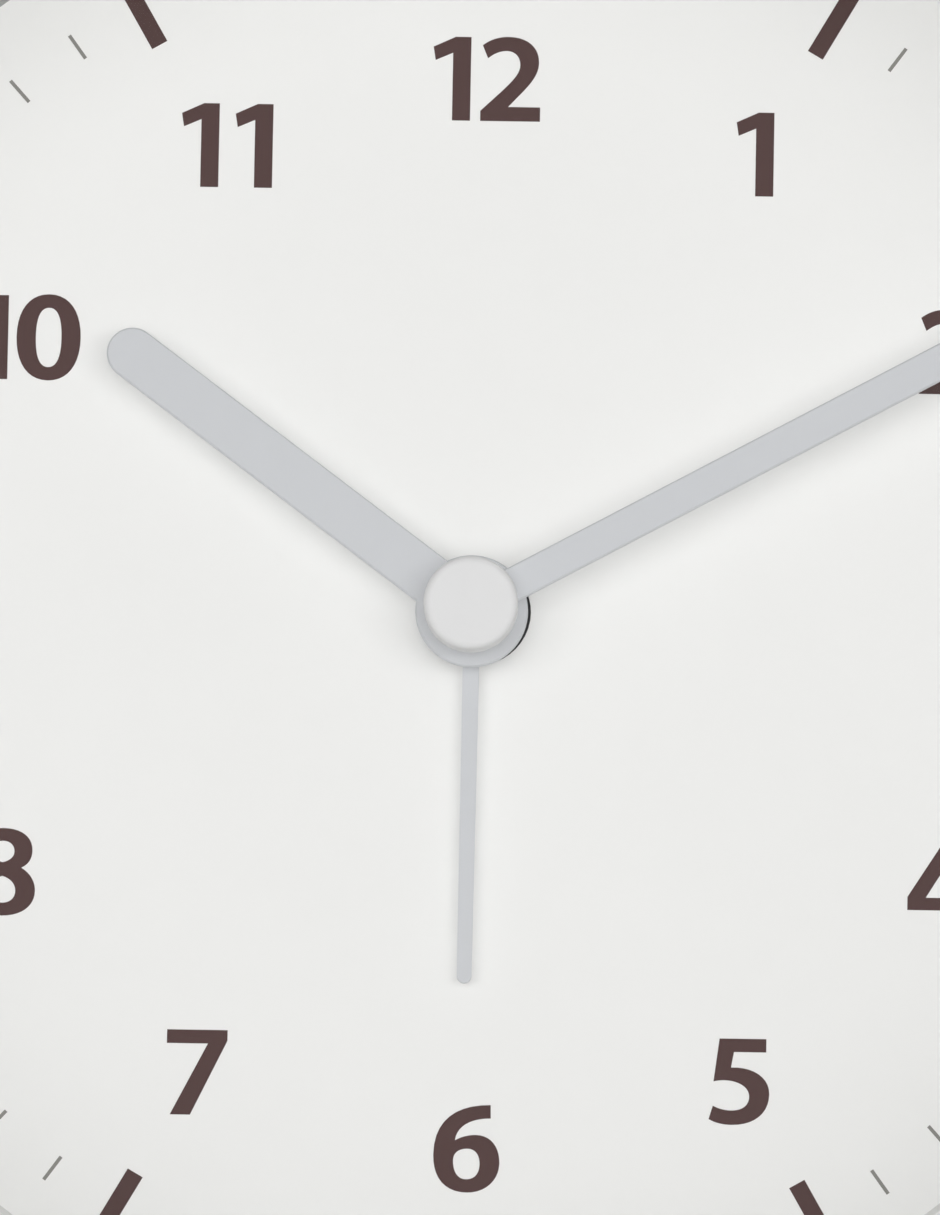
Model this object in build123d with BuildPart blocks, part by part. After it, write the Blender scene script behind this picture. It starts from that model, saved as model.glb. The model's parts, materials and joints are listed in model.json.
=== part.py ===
from build123d import *
import os
from math import acos, cos, pi, radians, sin, sqrt, tan

# Table alarm clock with a round head that leans back on a low foot.
# +X runs to the right of the dial, -Y to the front and +Z up, with the origin under the middle of the sole.
# Inside the head, places are given across the dial, up the dial and forward of the dial's printed face.

# Stance on the table
tilt = 8.5
head_set_back = -10.0
case_lift = 4.0

# Clearances
nest_gap = 0.2
slide_gap = 0.3
running_gap = 0.05
seam_gap = 0.3

# Bezel, glass and dial
opening_radius = 49.4
ring_bore = 50.5
case_radius = 55.0
bezel_wall = 1.6
bezel_front = 11.2
bezel_round = 2.0
bezel_lip = 1.2
lip_bevel = 0.4
lens_thickness = 1.8
lens_chamfer = 0.3
ring_wall = 0.9
dial_thickness = 0.8
dial_margin = 1.0
dial_hole_gap = 0.6
dial_hole_across = 0.27
dial_hole_up = 0.42
carrier_thickness = 2.0
seam_depth = 4.0

# Rear case
case_depth = 34.0
case_wall = 2.2
back_wall = 2.4
back_round = 6.0
back_round_inside = 4.0
ledge_width = 2.4
ledge_thickness = 2.0
sound_hole_radius = 1.0
sound_ring_step = 4.0
sound_ring_count = 3
sound_ring_holes = 6

# Case screws, in deep sockets from the back
screw_circle = 45.5
screw_bearings = (38.0, 142.0, 207.0, 333.0)
socket_radius = 3.0
socket_wall = 1.3
socket_floor = 2.0
pillar_radius = 3.2
pillar_length = 11.0
screw_radius = 1.2
screw_head_radius = 2.5
screw_head_height = 1.7
screw_grip = 7.0
screw_recess = 0.5

# Foot, sole and foot screws
foot_width = 72.0
foot_depth = 46.0
foot_height = 15.0
foot_corner = 13.0
foot_draft = 7.0
foot_edge_round = 2.0
sole_margin = 3.0
sole_thickness = 1.6
sole_proud = 0.6
foot_screw_across = 17.0
foot_screw_behind = 8.8
foot_boss_radius = 3.0
foot_boss_length = 7.0
foot_screw_seat = 6.0

# Hands and their hub
hand_thickness = 0.4
hand_edge = 0.1
alarm_hand_front = 1.4
hour_hand_front = 3.2
minute_hand_front = 5.3
alarm_hand_length = 23.9
alarm_hand_root = 1.08
alarm_hand_tip = 0.95
alarm_boss_radius = 3.3
alarm_hand_bearing = 180.0
hour_hand_length = 29.3
hour_hand_width = 3.3
hour_boss_radius = 3.63
hour_hand_bearing = 306.4
minute_hand_length = 42.0
minute_hand_width = 2.2
minute_boss_radius = 2.5
minute_hand_bearing = 61.1
cap_radius = 3.03
cap_height = 1.9
cap_round = 0.5
arbor_in_cap = 1.1

# Concentric arbor and pipes
minute_arbor_radius = 0.75
pipe_wall = 0.6
bush_wall = 0.8
bush_front = 0.5
pivot_radius = 0.5
pivot_depth = 1.0

# Wheel train
pressure_angle = 27.0
addendum = 0.85
dedendum = 1.15
tooth_play = 0.05
wheel_thickness = 1.0
wheel_gap = 0.8
first_wheel_gap = 0.5
motion_distance = 12.0
motion_bearing = -30.0
cannon_teeth = 12
motion_teeth = 36
motion_pinion_teeth = 12
hour_teeth = 48
alarm_distance = 12.0
alarm_bearing = 210.0
alarm_teeth = 36
alarm_pinion_teeth = 24
third_distance = 10.8
third_bearing = 45.0
centre_teeth = 64
third_pinion_teeth = 8
rotor_distance = 8.5
rotor_bearing = 145.0
third_teeth = 60
rotor_teeth = 8
stem_radius = 1.2
collar_radius = 1.6

# Movement housing
movement_width = 45.0
movement_top = 26.0
movement_bottom = 18.5
movement_corner = 3.0
plate_thickness = 1.5
cavity_depth = 11.4
lug_across = 26.5
lug_heights = (-10.0, 15.0)
lug_radius = 3.4
lug_thickness = 2.0
lug_pillar_radius = 3.0
lug_pillar_length = 6.0
small_screw_radius = 1.0
small_head_radius = 1.9
small_head_height = 1.2
small_screw_grip = 4.0

# Stepping motor
magnet_radius = 2.2
magnet_length = 2.6
stator_thickness = 1.2
stator_bore = 2.6
stator_half_width = 14.0
stator_leg = 4.2
stator_half_height = 3.6
coil_up = 20.4
coil_length = 17.0
coil_radius = 3.3
bobbin_core_radius = 1.9
bobbin_flange = 0.8
core_width = 2.4
motor_post_radius = 1.5

# Circuit board
board_thickness = 1.2
board_margin = 1.5
board_screw_inset = 3.6
chip_radius = 3.6
chip_height = 1.3
chip_round = 1.0
chip_across = -6.0
chip_up = 12.0
crystal_radius = 1.0
crystal_length = 6.0
crystal_across = 7.0
crystal_up = 14.0

# Buzzer
buzzer_up = 27.0
buzzer_radius = 13.5
buzzer_thickness = 0.3
ceramic_radius = 10.0
ceramic_thickness = 0.25
buzzer_stand = 2.0
buzzer_rib = 1.2
buzzer_seat = 1.0

# Knobs and alarm switch
knob_radius = 6.0
knob_height = 4.6
knob_stand_off = 0.6
knob_socket = 3.0
knob_round = 0.6
flute_count = 18
flute_radius = 0.6
switch_up = -15.5
switch_travel = 4.0
thumb_width = 6.0
thumb_height = 4.2
thumb_proud = 1.6
thumb_stand_off = 0.2
neck_width = 3.6
neck_height = 2.2
flange_margin = 1.4
flange_thickness = 1.0
wiper_thickness = 0.3
wiper_width = 3.2

# Battery bay for one AA cell
cell_radius = 7.25
cell_length = 50.5
cell_nub_radius = 2.75
cell_nub_length = 1.2
cell_edge = 0.6
cell_room = 0.4
bay_up = -30.0
bay_wall = 1.4
positive_room = 1.3
negative_room = 4.0
contact_thickness = 0.4
contact_width = 10.0
contact_height = 11.0
dimple_radius = 2.4
spring_strip = 0.35
spring_width = 6.0
spring_crest = 2.0
tail_width = 3.0
tail_length = 4.0
door_ledge = 1.3
door_thickness = 1.4
door_corner = 2.0
door_skirt = 1.2
door_skirt_depth = 1.4
grip_count = 3
grip_width = 12.0
grip_pitch = 1.8
grip_proud = 0.5

# Snooze bar
snooze_width = 34.0
snooze_depth = 14.0
snooze_middle = 17.0
snooze_proud = 2.0
snooze_round = 0.8
snooze_travel = 1.2
snooze_flange = 1.5
snooze_flange_thickness = 1.4
snooze_stem_width = 6.0
leaf_span = 28.0
leaf_rise = 3.0
leaf_thickness = 0.3
leaf_width = 6.0
leaf_post = 3.0
stem_length = 1.8
contact_gap = 0.6
stud_radius = 1.6
stud_height = 1.2

# Internal leads
lead_radius = 0.55
lead_bend = 2.6
lead_stand_off = 6.0
lead_rise = 10.0
lead_pad_across = 18.0
lead_pad_up = 6.0
buzzer_lead_spread = 3.0
buzzer_lead_drop = 6.0
buzzer_pad_across = 12.0
buzzer_pad_up = 20.0

# Places worked out from the sizes above
lean = radians(tilt)
ACROSS = Vector(1, 0, 0)
FRONT = Vector(0, -cos(lean), sin(lean))
UP = Vector(0, sin(lean), cos(lean))
head_height = case_lift + case_radius * cos(lean) + case_depth * sin(lean)
HEAD = Vector(0, head_set_back, head_height)
bezel_bore = case_radius - bezel_wall
lens_front = bezel_front - bezel_lip
lens_back = lens_front - lens_thickness
lens_radius = bezel_bore - nest_gap
dial_radius = ring_bore + dial_margin
carrier_front = -dial_thickness
carrier_back = carrier_front - carrier_thickness
case_bore = case_radius - case_wall
back_inside = back_wall - case_depth
socket_front = carrier_back - pillar_length
hour_pipe_bore = minute_arbor_radius + running_gap
hour_pipe_radius = hour_pipe_bore + pipe_wall
alarm_pipe_bore = hour_pipe_radius + running_gap
alarm_pipe_radius = alarm_pipe_bore + pipe_wall
bush_bore = alarm_pipe_radius + running_gap
bush_radius = bush_bore + bush_wall
cavity_front = carrier_back - plate_thickness
cavity_back = cavity_front - cavity_depth
cover_back = cavity_back - plate_thickness
board_back = cover_back - board_thickness
movement_height = movement_top + movement_bottom
movement_middle = (movement_top - movement_bottom) / 2
cell_middle = (negative_room - positive_room) / 2
bay_length = cell_length + positive_room + negative_room
bay_height = 2 * (cell_radius + cell_room)
cell_fore = back_inside + cell_radius + cell_room
bay_front = cell_fore + cell_radius + cell_room
contact_across = (bay_length - contact_thickness) / 2
tail_end = bay_up + bay_height / 2 + tail_length
buzzer_back = back_inside + buzzer_stand
buzzer_front = buzzer_back + buzzer_thickness


def spot(across, up, fore):
    """Point in the head: across the dial, up the dial and forward of its face."""
    return HEAD + ACROSS * across + UP * up + FRONT * fore


def face_plane(fore, across=0.0, up=0.0, turn=0.0):
    """Plane parallel to the dial, facing the viewer."""
    heading = ACROSS * cos(radians(turn)) + UP * sin(radians(turn))
    return Plane(origin=spot(across, up, fore), x_dir=heading, z_dir=FRONT)


def section_plane(across=0.0, up=0.0):
    """Plane through an axis square to the dial: local X is the radius and local Y runs forward."""
    return Plane(origin=spot(across, up, 0), x_dir=ACROSS, z_dir=-UP)


def rising_plane(across, up, fore):
    """Plane square to the dial's upward direction."""
    return Plane(origin=spot(across, up, fore), x_dir=ACROSS, z_dir=UP)


def crossing_plane(across, up, fore):
    """Plane square to the direction across the dial."""
    return Plane(origin=spot(across, up, fore), x_dir=UP, z_dir=ACROSS)


def spindle(across=0.0, up=0.0):
    """Axis square to the dial."""
    return Axis(spot(across, up, 0), FRONT)


def rod(radius, back, front, across=0.0, up=0.0, mode=Mode.ADD):
    """Round bar square to the dial, added to or cut from the piece being built."""
    with BuildSketch(face_plane(back, across, up)) as outline:
        Circle(radius)
    extrude(outline.sketch, amount=front - back, mode=mode)


def block(width, height, back, front, across=0.0, up=0.0, corner=0.0, mode=Mode.ADD):
    """Rectangular bar square to the dial, with rounded corners if asked."""
    with BuildSketch(face_plane(back, across, up)) as outline:
        if corner:
            RectangleRounded(width, height, corner)
        else:
            Rectangle(width, height)
    extrude(outline.sketch, amount=front - back, mode=mode)


def post(radius, low, high, across, fore, mode=Mode.ADD):
    """Round bar along the dial's upward direction."""
    with BuildSketch(rising_plane(across, low, fore)) as outline:
        Circle(radius)
    extrude(outline.sketch, amount=high - low, mode=mode)


def axle(radius, left, right, up, fore, mode=Mode.ADD):
    """Round bar across the dial."""
    with BuildSketch(crossing_plane(left, up, fore)) as outline:
        Circle(radius)
    extrude(outline.sketch, amount=right - left, mode=mode)


def round_places(radius, bearings):
    """Points on a circle about the dial's middle, at bearings from the right, counter-clockwise."""
    return [(radius * cos(radians(b)), radius * sin(radians(b))) for b in bearings]


def finish(piece, name):
    """Label a finished piece and write it out."""
    piece.part.label = name
    export_step(piece.part, f"parts/{name}.step")


# Wheels with involute teeth
def module_of(distance, teeth, other_teeth):
    """Tooth module of two meshing wheels, from the distance between their arbors."""
    return 2 * distance / (teeth + other_teeth)


def tip_radius(teeth, module):
    """Radius over the teeth."""
    return module * (teeth / 2 + addendum)


def involute(angle):
    """Involute function of an angle in radians."""
    return tan(angle) - angle


def mesh_phase(teeth, other_teeth, other_phase, heading):
    """Bearing of one tooth of a wheel that meshes, at rest, with another that lies behind the heading."""
    past_tooth = (heading - other_phase) * other_teeth / 360 % 1
    return heading + 180 - (0.5 - past_tooth) * 360 / teeth


def gear(teeth, module, phase, back, front, across=0.0, up=0.0):
    """Toothed wheel with one tooth at the phase angle."""
    pitch = module * teeth / 2
    base = pitch * cos(radians(pressure_angle))
    tip = tip_radius(teeth, module)
    root = pitch - dedendum * module
    flank_start = max(root, base)
    half_pitch_tooth = pi / (2 * teeth) - tooth_play / (2 * pitch) + involute(radians(pressure_angle))

    def half_tooth(radius):
        return half_pitch_tooth - involute(acos(min(1, base / radius)))

    def on(radius, angle):
        return (radius * cos(angle), radius * sin(angle))

    step = 2 * pi / teeth
    with BuildSketch(face_plane(back, across, up, phase)) as outline:
        with BuildLine():
            for number in range(teeth):
                middle = number * step
                foot = half_tooth(flank_start)
                waist = (flank_start + tip) / 2
                right = [on(root, middle - foot)]
                left = [on(root, middle + foot)]
                if flank_start > root:
                    right.append(on(flank_start, middle - foot))
                    left.append(on(flank_start, middle + foot))
                    Line(right[0], right[1])
                    Line(left[0], left[1])
                tip_right = on(tip, middle - half_tooth(tip))
                tip_left = on(tip, middle + half_tooth(tip))
                ThreePointArc(right[-1], on(waist, middle - half_tooth(waist)), tip_right)
                Line(tip_right, tip_left)
                ThreePointArc(tip_left, on(waist, middle + half_tooth(waist)), left[-1])
                Line(left[0], on(root, middle + step - foot))
        make_face()
    extrude(outline.sketch, amount=front - back)


def level(number):
    """Back and front of a wheel, counting the layers from the front plate."""
    front = cavity_front - first_wheel_gap - number * (wheel_thickness + wheel_gap)
    return front - wheel_thickness, front


# Arbors of the train and how their wheels mesh at rest
motion_place = round_places(motion_distance, [motion_bearing])[0]
alarm_place = round_places(alarm_distance, [alarm_bearing])[0]
third_place = round_places(third_distance, [third_bearing])[0]
rotor_step = round_places(rotor_distance, [rotor_bearing])[0]
rotor_place = (third_place[0] + rotor_step[0], third_place[1] + rotor_step[1])
motion_module = module_of(motion_distance, cannon_teeth, motion_teeth)
hour_module = module_of(motion_distance, motion_pinion_teeth, hour_teeth)
alarm_module = module_of(alarm_distance, alarm_teeth, alarm_pinion_teeth)
centre_module = module_of(third_distance, centre_teeth, third_pinion_teeth)
third_module = module_of(rotor_distance, third_teeth, rotor_teeth)
motion_phase = mesh_phase(motion_teeth, cannon_teeth, 0, motion_bearing)
hour_phase = mesh_phase(hour_teeth, motion_pinion_teeth, 0, motion_bearing + 180)
alarm_pinion_phase = mesh_phase(alarm_pinion_teeth, alarm_teeth, 0, alarm_bearing)
third_pinion_phase = mesh_phase(third_pinion_teeth, centre_teeth, 0, third_bearing)
rotor_phase = mesh_phase(rotor_teeth, third_teeth, 0, rotor_bearing)
alarm_level = level(0)
hour_level = level(1)
motion_level = level(2)
centre_level = level(3)
third_level = level(4)

os.makedirs("parts", exist_ok=True)

# Bezel with its front lip
with BuildPart() as bezel:
    with BuildSketch(section_plane()):
        with BuildLine():
            skirt = -seam_depth + seam_gap
            shoulder = case_radius - bezel_round
            Line((bezel_bore, skirt), (case_radius, skirt))
            Line((case_radius, skirt), (case_radius, bezel_front - bezel_round))
            RadiusArc((case_radius, bezel_front - bezel_round), (shoulder, bezel_front), -bezel_round)
            Polyline(
                (shoulder, bezel_front),
                (opening_radius + lip_bevel, bezel_front),
                (opening_radius, bezel_front - lip_bevel),
                (opening_radius, lens_front),
                (bezel_bore, lens_front),
                (bezel_bore, skirt),
            )
        make_face()
    revolve(axis=spindle())
finish(bezel, "bezel")

# Flat glass over the dial
with BuildPart() as lens:
    rod(lens_radius, lens_back, lens_front)
    chamfer(lens.edges(), length=lens_chamfer)
finish(lens, "lens")

# Ring that holds the glass off the dial
with BuildPart() as dial_ring:
    with BuildSketch(section_plane()):
        with BuildLine():
            Polyline(
                (ring_bore, 0),
                (ring_bore + ring_wall, 0),
                (ring_bore + ring_wall, lens_back - ring_wall),
                (lens_radius, lens_back - ring_wall),
                (lens_radius, lens_back),
                (ring_bore, lens_back),
                close=True,
            )
        make_face()
    revolve(axis=spindle())
finish(dial_ring, "dial_ring")

# Dial plate, whose wide hole lies a little off the hub and shows as a dark crescent beside the hour hand's boss
with BuildPart() as dial:
    rod(dial_radius, carrier_front, 0)
    hole_radius = bush_radius + dial_hole_gap
    rod(hole_radius, carrier_front, 0, dial_hole_across, dial_hole_up, mode=Mode.SUBTRACT)
finish(dial, "dial")

# Carrier plate behind the dial, with pillars for the case screws and the movement
case_screw_places = round_places(screw_circle, screw_bearings)
lug_places = [(side * lug_across, up) for side in (-1, 1) for up in lug_heights]
lug_seat = carrier_back - lug_pillar_length
with BuildPart() as dial_carrier:
    rod(dial_radius, carrier_back, carrier_front)
    rod(bush_radius + nest_gap, carrier_back, carrier_front, mode=Mode.SUBTRACT)
    for across, up in case_screw_places:
        rod(pillar_radius, socket_front, carrier_back, across, up)
        rod(screw_radius, socket_front, socket_front + screw_grip, across, up, mode=Mode.SUBTRACT)
    for across, up in lug_places:
        rod(lug_pillar_radius, lug_seat, carrier_back, across, up)
        rod(small_screw_radius, lug_seat, lug_seat + small_screw_grip, across, up, mode=Mode.SUBTRACT)
finish(dial_carrier, "dial_carrier")

# Rear case: cup, ledge for the carrier, screw sockets, battery bay, buzzer seat and snooze window
lip_radius = bezel_bore - nest_gap
lip_bore = dial_radius + nest_gap
ledge_back = carrier_back - ledge_thickness
foot_screw_fore = -foot_screw_behind
foot_boss_low = -sqrt(case_bore**2 - foot_screw_across**2)
foot_boss_high = foot_boss_low + foot_boss_length
foot_screw_end = foot_boss_low + screw_grip - case_wall
snooze_back = -snooze_middle - snooze_depth / 2
leaf_foot = sqrt(case_bore**2 - (snooze_width / 2) ** 2) - snooze_flange_thickness - stem_length - leaf_rise
slot_width = neck_width + switch_travel + 2 * slide_gap
door_length = bay_length + 2 * door_ledge
door_height = bay_height + 2 * door_ledge
door_inside = door_thickness - case_depth
with BuildPart() as rear_case:
    with BuildSketch(section_plane()):
        with BuildLine():
            Polyline(
                (0, back_inside),
                (0, -case_depth),
                (case_radius - back_round, -case_depth),
            )
            RadiusArc(
                (case_radius - back_round, -case_depth),
                (case_radius, back_round - case_depth),
                -back_round,
            )
            Polyline(
                (case_radius, back_round - case_depth),
                (case_radius, -seam_depth),
                (lip_radius, -seam_depth),
                (lip_radius, carrier_front),
                (lip_bore, carrier_front),
                (lip_bore, carrier_back),
                (lip_bore - ledge_width, carrier_back),
                (lip_bore - ledge_width, ledge_back),
                (case_bore, ledge_back),
                (case_bore, back_inside + back_round_inside),
            )
            RadiusArc(
                (case_bore, back_inside + back_round_inside),
                (case_bore - back_round_inside, back_inside),
                back_round_inside,
            )
            Line((case_bore - back_round_inside, back_inside), (0, back_inside))
        make_face()
    revolve(axis=spindle())

    # Sockets for the case screws
    for across, up in case_screw_places:
        rod(socket_radius + socket_wall, back_inside, socket_front, across, up)
        rod(socket_radius, -case_depth, socket_front - socket_floor, across, up, mode=Mode.SUBTRACT)
        rod(screw_radius + nest_gap, -case_depth, socket_front, across, up, mode=Mode.SUBTRACT)

    # Bosses that take the foot screws
    for side in (-1, 1):
        across = side * foot_screw_across
        post(foot_boss_radius, foot_boss_low - case_wall / 2, foot_boss_high, across, foot_screw_fore)
        post(screw_radius, -case_radius, foot_screw_end, across, foot_screw_fore, Mode.SUBTRACT)

    # Battery bay, open at the back behind a rebate for its door
    block(bay_length + 2 * bay_wall, bay_height + 2 * bay_wall, back_inside, bay_front + bay_wall, 0, bay_up)
    block(bay_length, bay_height, -case_depth, bay_front, 0, bay_up, mode=Mode.SUBTRACT)
    block(door_length, door_height, -case_depth, door_inside, 0, bay_up, door_corner, Mode.SUBTRACT)
    for side in (-1, 1):
        block(
            contact_thickness + nest_gap,
            tail_length,
            cell_fore - tail_width / 2 - nest_gap / 2,
            cell_fore + tail_width / 2 + nest_gap / 2,
            side * (contact_across - nest_gap / 2),
            bay_up + bay_height / 2 + bay_wall / 2,
            mode=Mode.SUBTRACT,
        )

    # Buzzer seat and the sound holes in it
    rod(buzzer_radius + buzzer_rib, back_inside, buzzer_front, 0, buzzer_up)
    rod(buzzer_radius + nest_gap, buzzer_back, buzzer_front, 0, buzzer_up, Mode.SUBTRACT)
    rod(buzzer_radius - buzzer_seat, back_inside, buzzer_back, 0, buzzer_up, Mode.SUBTRACT)
    for ring in range(sound_ring_count):
        holes = max(1, ring * sound_ring_holes)
        bearings = [360 * number / holes for number in range(holes)]
        for across, up in round_places(ring * sound_ring_step, bearings):
            rod(sound_hole_radius, -case_depth, back_inside, across, buzzer_up + up, Mode.SUBTRACT)

    # Holes for the setting stems and the alarm switch
    for across, up in (motion_place, alarm_place):
        rod(stem_radius + slide_gap, -case_depth, back_inside, across, up, mode=Mode.SUBTRACT)
    block(slot_width, neck_height + 2 * slide_gap, -case_depth, back_inside, 0, switch_up, mode=Mode.SUBTRACT)

    # Snooze window, leaf posts and contact post
    block(
        snooze_width + 2 * slide_gap,
        case_radius,
        snooze_back - slide_gap,
        snooze_back + snooze_depth + slide_gap,
        0,
        case_radius,
        mode=Mode.SUBTRACT,
    )
    leaf_front = -snooze_middle + leaf_width / 2
    for side in (-1, 1):
        block(leaf_post, leaf_post, back_inside, leaf_front, side * leaf_span / 2, leaf_foot - leaf_post / 2)
    stud_seat = leaf_foot + leaf_rise - leaf_thickness - snooze_travel - contact_gap - stud_height
    block(2 * stud_radius, leaf_post, back_inside, -snooze_middle + stud_radius, 0, stud_seat - leaf_post / 2)
finish(rear_case, "rear_case")

# Case screws
with BuildPart() as case_screws:
    for across, up in case_screw_places:
        seat = socket_front - socket_floor
        crown = seat - screw_head_height
        rod(screw_head_radius, crown, seat, across, up)
        rod(screw_radius, seat, socket_front + screw_grip, across, up)
        rod(screw_radius, crown, crown + screw_recess, across, up, Mode.SUBTRACT)
finish(case_screws, "case_screws")

# Foot: a low plinth with a saddle for the case
foot_base = Plane.XY.offset(sole_proud)
foot_saddle = -sqrt(case_radius**2 - foot_screw_across**2)
foot_head_seat = foot_saddle - foot_screw_seat
recess_width = foot_width - 2 * sole_margin
recess_depth = foot_depth - 2 * sole_margin
recess_corner = foot_corner - sole_margin
with BuildPart() as foot:
    with BuildSketch(foot_base):
        RectangleRounded(foot_width, foot_depth, foot_corner)
    extrude(amount=foot_height, taper=foot_draft)
    fillet(foot.edges().group_by(Axis.Z)[-1], radius=foot_edge_round)
    with BuildSketch(foot_base):
        RectangleRounded(recess_width, recess_depth, recess_corner)
    extrude(amount=sole_thickness - sole_proud, mode=Mode.SUBTRACT)
    rod(case_radius, -2 * case_depth, case_depth, mode=Mode.SUBTRACT)
    for side in (-1, 1):
        across = side * foot_screw_across
        below = foot_saddle - 2 * foot_height
        above = foot_saddle + foot_height
        post(screw_radius + nest_gap, below, above, across, foot_screw_fore, Mode.SUBTRACT)
        post(socket_radius, below, foot_head_seat, across, foot_screw_fore, Mode.SUBTRACT)
finish(foot, "foot")

# Rubber sole let into the underside of the foot
with BuildPart() as sole:
    with BuildSketch(Plane.XY):
        RectangleRounded(recess_width - 2 * nest_gap, recess_depth - 2 * nest_gap, recess_corner - nest_gap)
    extrude(amount=sole_thickness)
finish(sole, "sole")

# Foot screws
with BuildPart() as foot_screws:
    for side in (-1, 1):
        across = side * foot_screw_across
        crown = foot_head_seat - screw_head_height
        post(screw_head_radius, crown, foot_head_seat, across, foot_screw_fore)
        post(screw_radius, foot_head_seat, foot_screw_end, across, foot_screw_fore)
        post(screw_radius, crown, crown + screw_recess, across, foot_screw_fore, Mode.SUBTRACT)
finish(foot_screws, "foot_screws")


# Hands
def hand(length, root_width, tip_width, boss, bore, front, bearing):
    """Flat hand with a round end and a round boss, pointing along a clockwise bearing from twelve."""
    turn = 90 - bearing
    reach = length - tip_width / 2
    with BuildSketch(face_plane(front - hand_thickness, turn=turn)) as outline:
        Polygon(
            (0, -root_width / 2),
            (reach, -tip_width / 2),
            (reach, tip_width / 2),
            (0, root_width / 2),
            align=None,
        )
        with Locations((reach, 0)):
            Circle(tip_width / 2)
        Circle(boss)
        Circle(bore, mode=Mode.SUBTRACT)
    extrude(outline.sketch, amount=hand_thickness)


with BuildPart() as alarm_hand:
    hand(
        alarm_hand_length,
        alarm_hand_root,
        alarm_hand_tip,
        alarm_boss_radius,
        alarm_pipe_radius,
        alarm_hand_front,
        alarm_hand_bearing,
    )
finish(alarm_hand, "alarm_hand")

with BuildPart() as hour_hand:
    hand(
        hour_hand_length,
        hour_hand_width,
        hour_hand_width,
        hour_boss_radius,
        hour_pipe_radius,
        hour_hand_front,
        hour_hand_bearing,
    )
    chamfer(hour_hand.faces().sort_by(spindle())[-1].outer_wire().edges(), length=hand_edge)
finish(hour_hand, "hour_hand")

with BuildPart() as minute_hand:
    hand(
        minute_hand_length,
        minute_hand_width,
        minute_hand_width,
        minute_boss_radius,
        minute_arbor_radius,
        minute_hand_front,
        minute_hand_bearing,
    )
    chamfer(minute_hand.faces().sort_by(spindle())[-1].outer_wire().edges(), length=hand_edge)
finish(minute_hand, "minute_hand")

# Cap pressed on the end of the minute arbor
with BuildPart() as hub_cap:
    rod(cap_radius, minute_hand_front, minute_hand_front + cap_height)
    fillet(hub_cap.edges().group_by(spindle())[-1], radius=cap_round)
    rod(minute_arbor_radius, minute_hand_front, minute_hand_front + arbor_in_cap, mode=Mode.SUBTRACT)
finish(hub_cap, "hub_cap")

# Minute arbor with its cannon pinion and the collar that the centre wheel grips
with BuildPart() as minute_arbor:
    rod(minute_arbor_radius, cavity_back - pivot_depth, minute_hand_front + arbor_in_cap)
    gear(cannon_teeth, motion_module, 0, *motion_level)
    rod(collar_radius, centre_level[0] - wheel_gap / 2, motion_level[0])
finish(minute_arbor, "minute_arbor")

# Centre wheel, a friction fit on the minute arbor
with BuildPart() as centre_wheel:
    gear(centre_teeth, centre_module, 0, *centre_level)
    rod(collar_radius, *centre_level, mode=Mode.SUBTRACT)
finish(centre_wheel, "centre_wheel")

# Hour wheel and its pipe
with BuildPart() as hour_wheel:
    gear(hour_teeth, hour_module, hour_phase, *hour_level)
    rod(hour_pipe_radius, hour_level[1], hour_hand_front)
    rod(hour_pipe_bore, hour_level[0], hour_hand_front, mode=Mode.SUBTRACT)
finish(hour_wheel, "hour_wheel")

# Alarm wheel and its pipe
with BuildPart() as alarm_wheel:
    gear(alarm_teeth, alarm_module, 0, *alarm_level)
    rod(alarm_pipe_radius, alarm_level[1], alarm_hand_front)
    rod(alarm_pipe_bore, alarm_level[0], alarm_hand_front, mode=Mode.SUBTRACT)
finish(alarm_wheel, "alarm_wheel")

# Motion wheel with its pinion, on the stem that the time knob turns
knob_seat = -case_depth - knob_stand_off
stem_back = knob_seat - knob_socket
with BuildPart() as motion_wheel:
    gear(motion_teeth, motion_module, motion_phase, *motion_level, *motion_place)
    gear(motion_pinion_teeth, hour_module, 0, motion_level[1], hour_level[1], *motion_place)
    rod(stem_radius, stem_back, motion_level[0], *motion_place)
    rod(pivot_radius, hour_level[1], cavity_front + pivot_depth, *motion_place)
finish(motion_wheel, "motion_wheel")

# Alarm setting pinion on the stem that the alarm knob turns
with BuildPart() as alarm_pinion:
    gear(alarm_pinion_teeth, alarm_module, alarm_pinion_phase, *alarm_level, *alarm_place)
    rod(stem_radius, stem_back, alarm_level[0], *alarm_place)
    rod(pivot_radius, alarm_level[1], cavity_front + pivot_depth, *alarm_place)
finish(alarm_pinion, "alarm_pinion")

# Third wheel and pinion
with BuildPart() as third_wheel:
    gear(third_teeth, third_module, 0, *third_level, *third_place)
    gear(third_pinion_teeth, centre_module, third_pinion_phase, third_level[1], centre_level[1], *third_place)
    rod(pivot_radius, cavity_back - pivot_depth, cavity_front + pivot_depth, *third_place)
finish(third_wheel, "third_wheel")

# Rotor: pinion and arbor, with the ring magnet pressed on
stator_front = motion_level[1]
stator_back = stator_front - stator_thickness
magnet_front = (stator_front + stator_back + magnet_length) / 2
with BuildPart() as rotor_pinion:
    gear(rotor_teeth, third_module, rotor_phase, *third_level, *rotor_place)
    rod(pivot_radius, cavity_back - pivot_depth, cavity_front + pivot_depth, *rotor_place)
finish(rotor_pinion, "rotor_pinion")

with BuildPart() as rotor_magnet:
    rod(magnet_radius, magnet_front - magnet_length, magnet_front, *rotor_place)
    rod(pivot_radius, magnet_front - magnet_length, magnet_front, *rotor_place, mode=Mode.SUBTRACT)
finish(rotor_magnet, "rotor_magnet")

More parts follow.
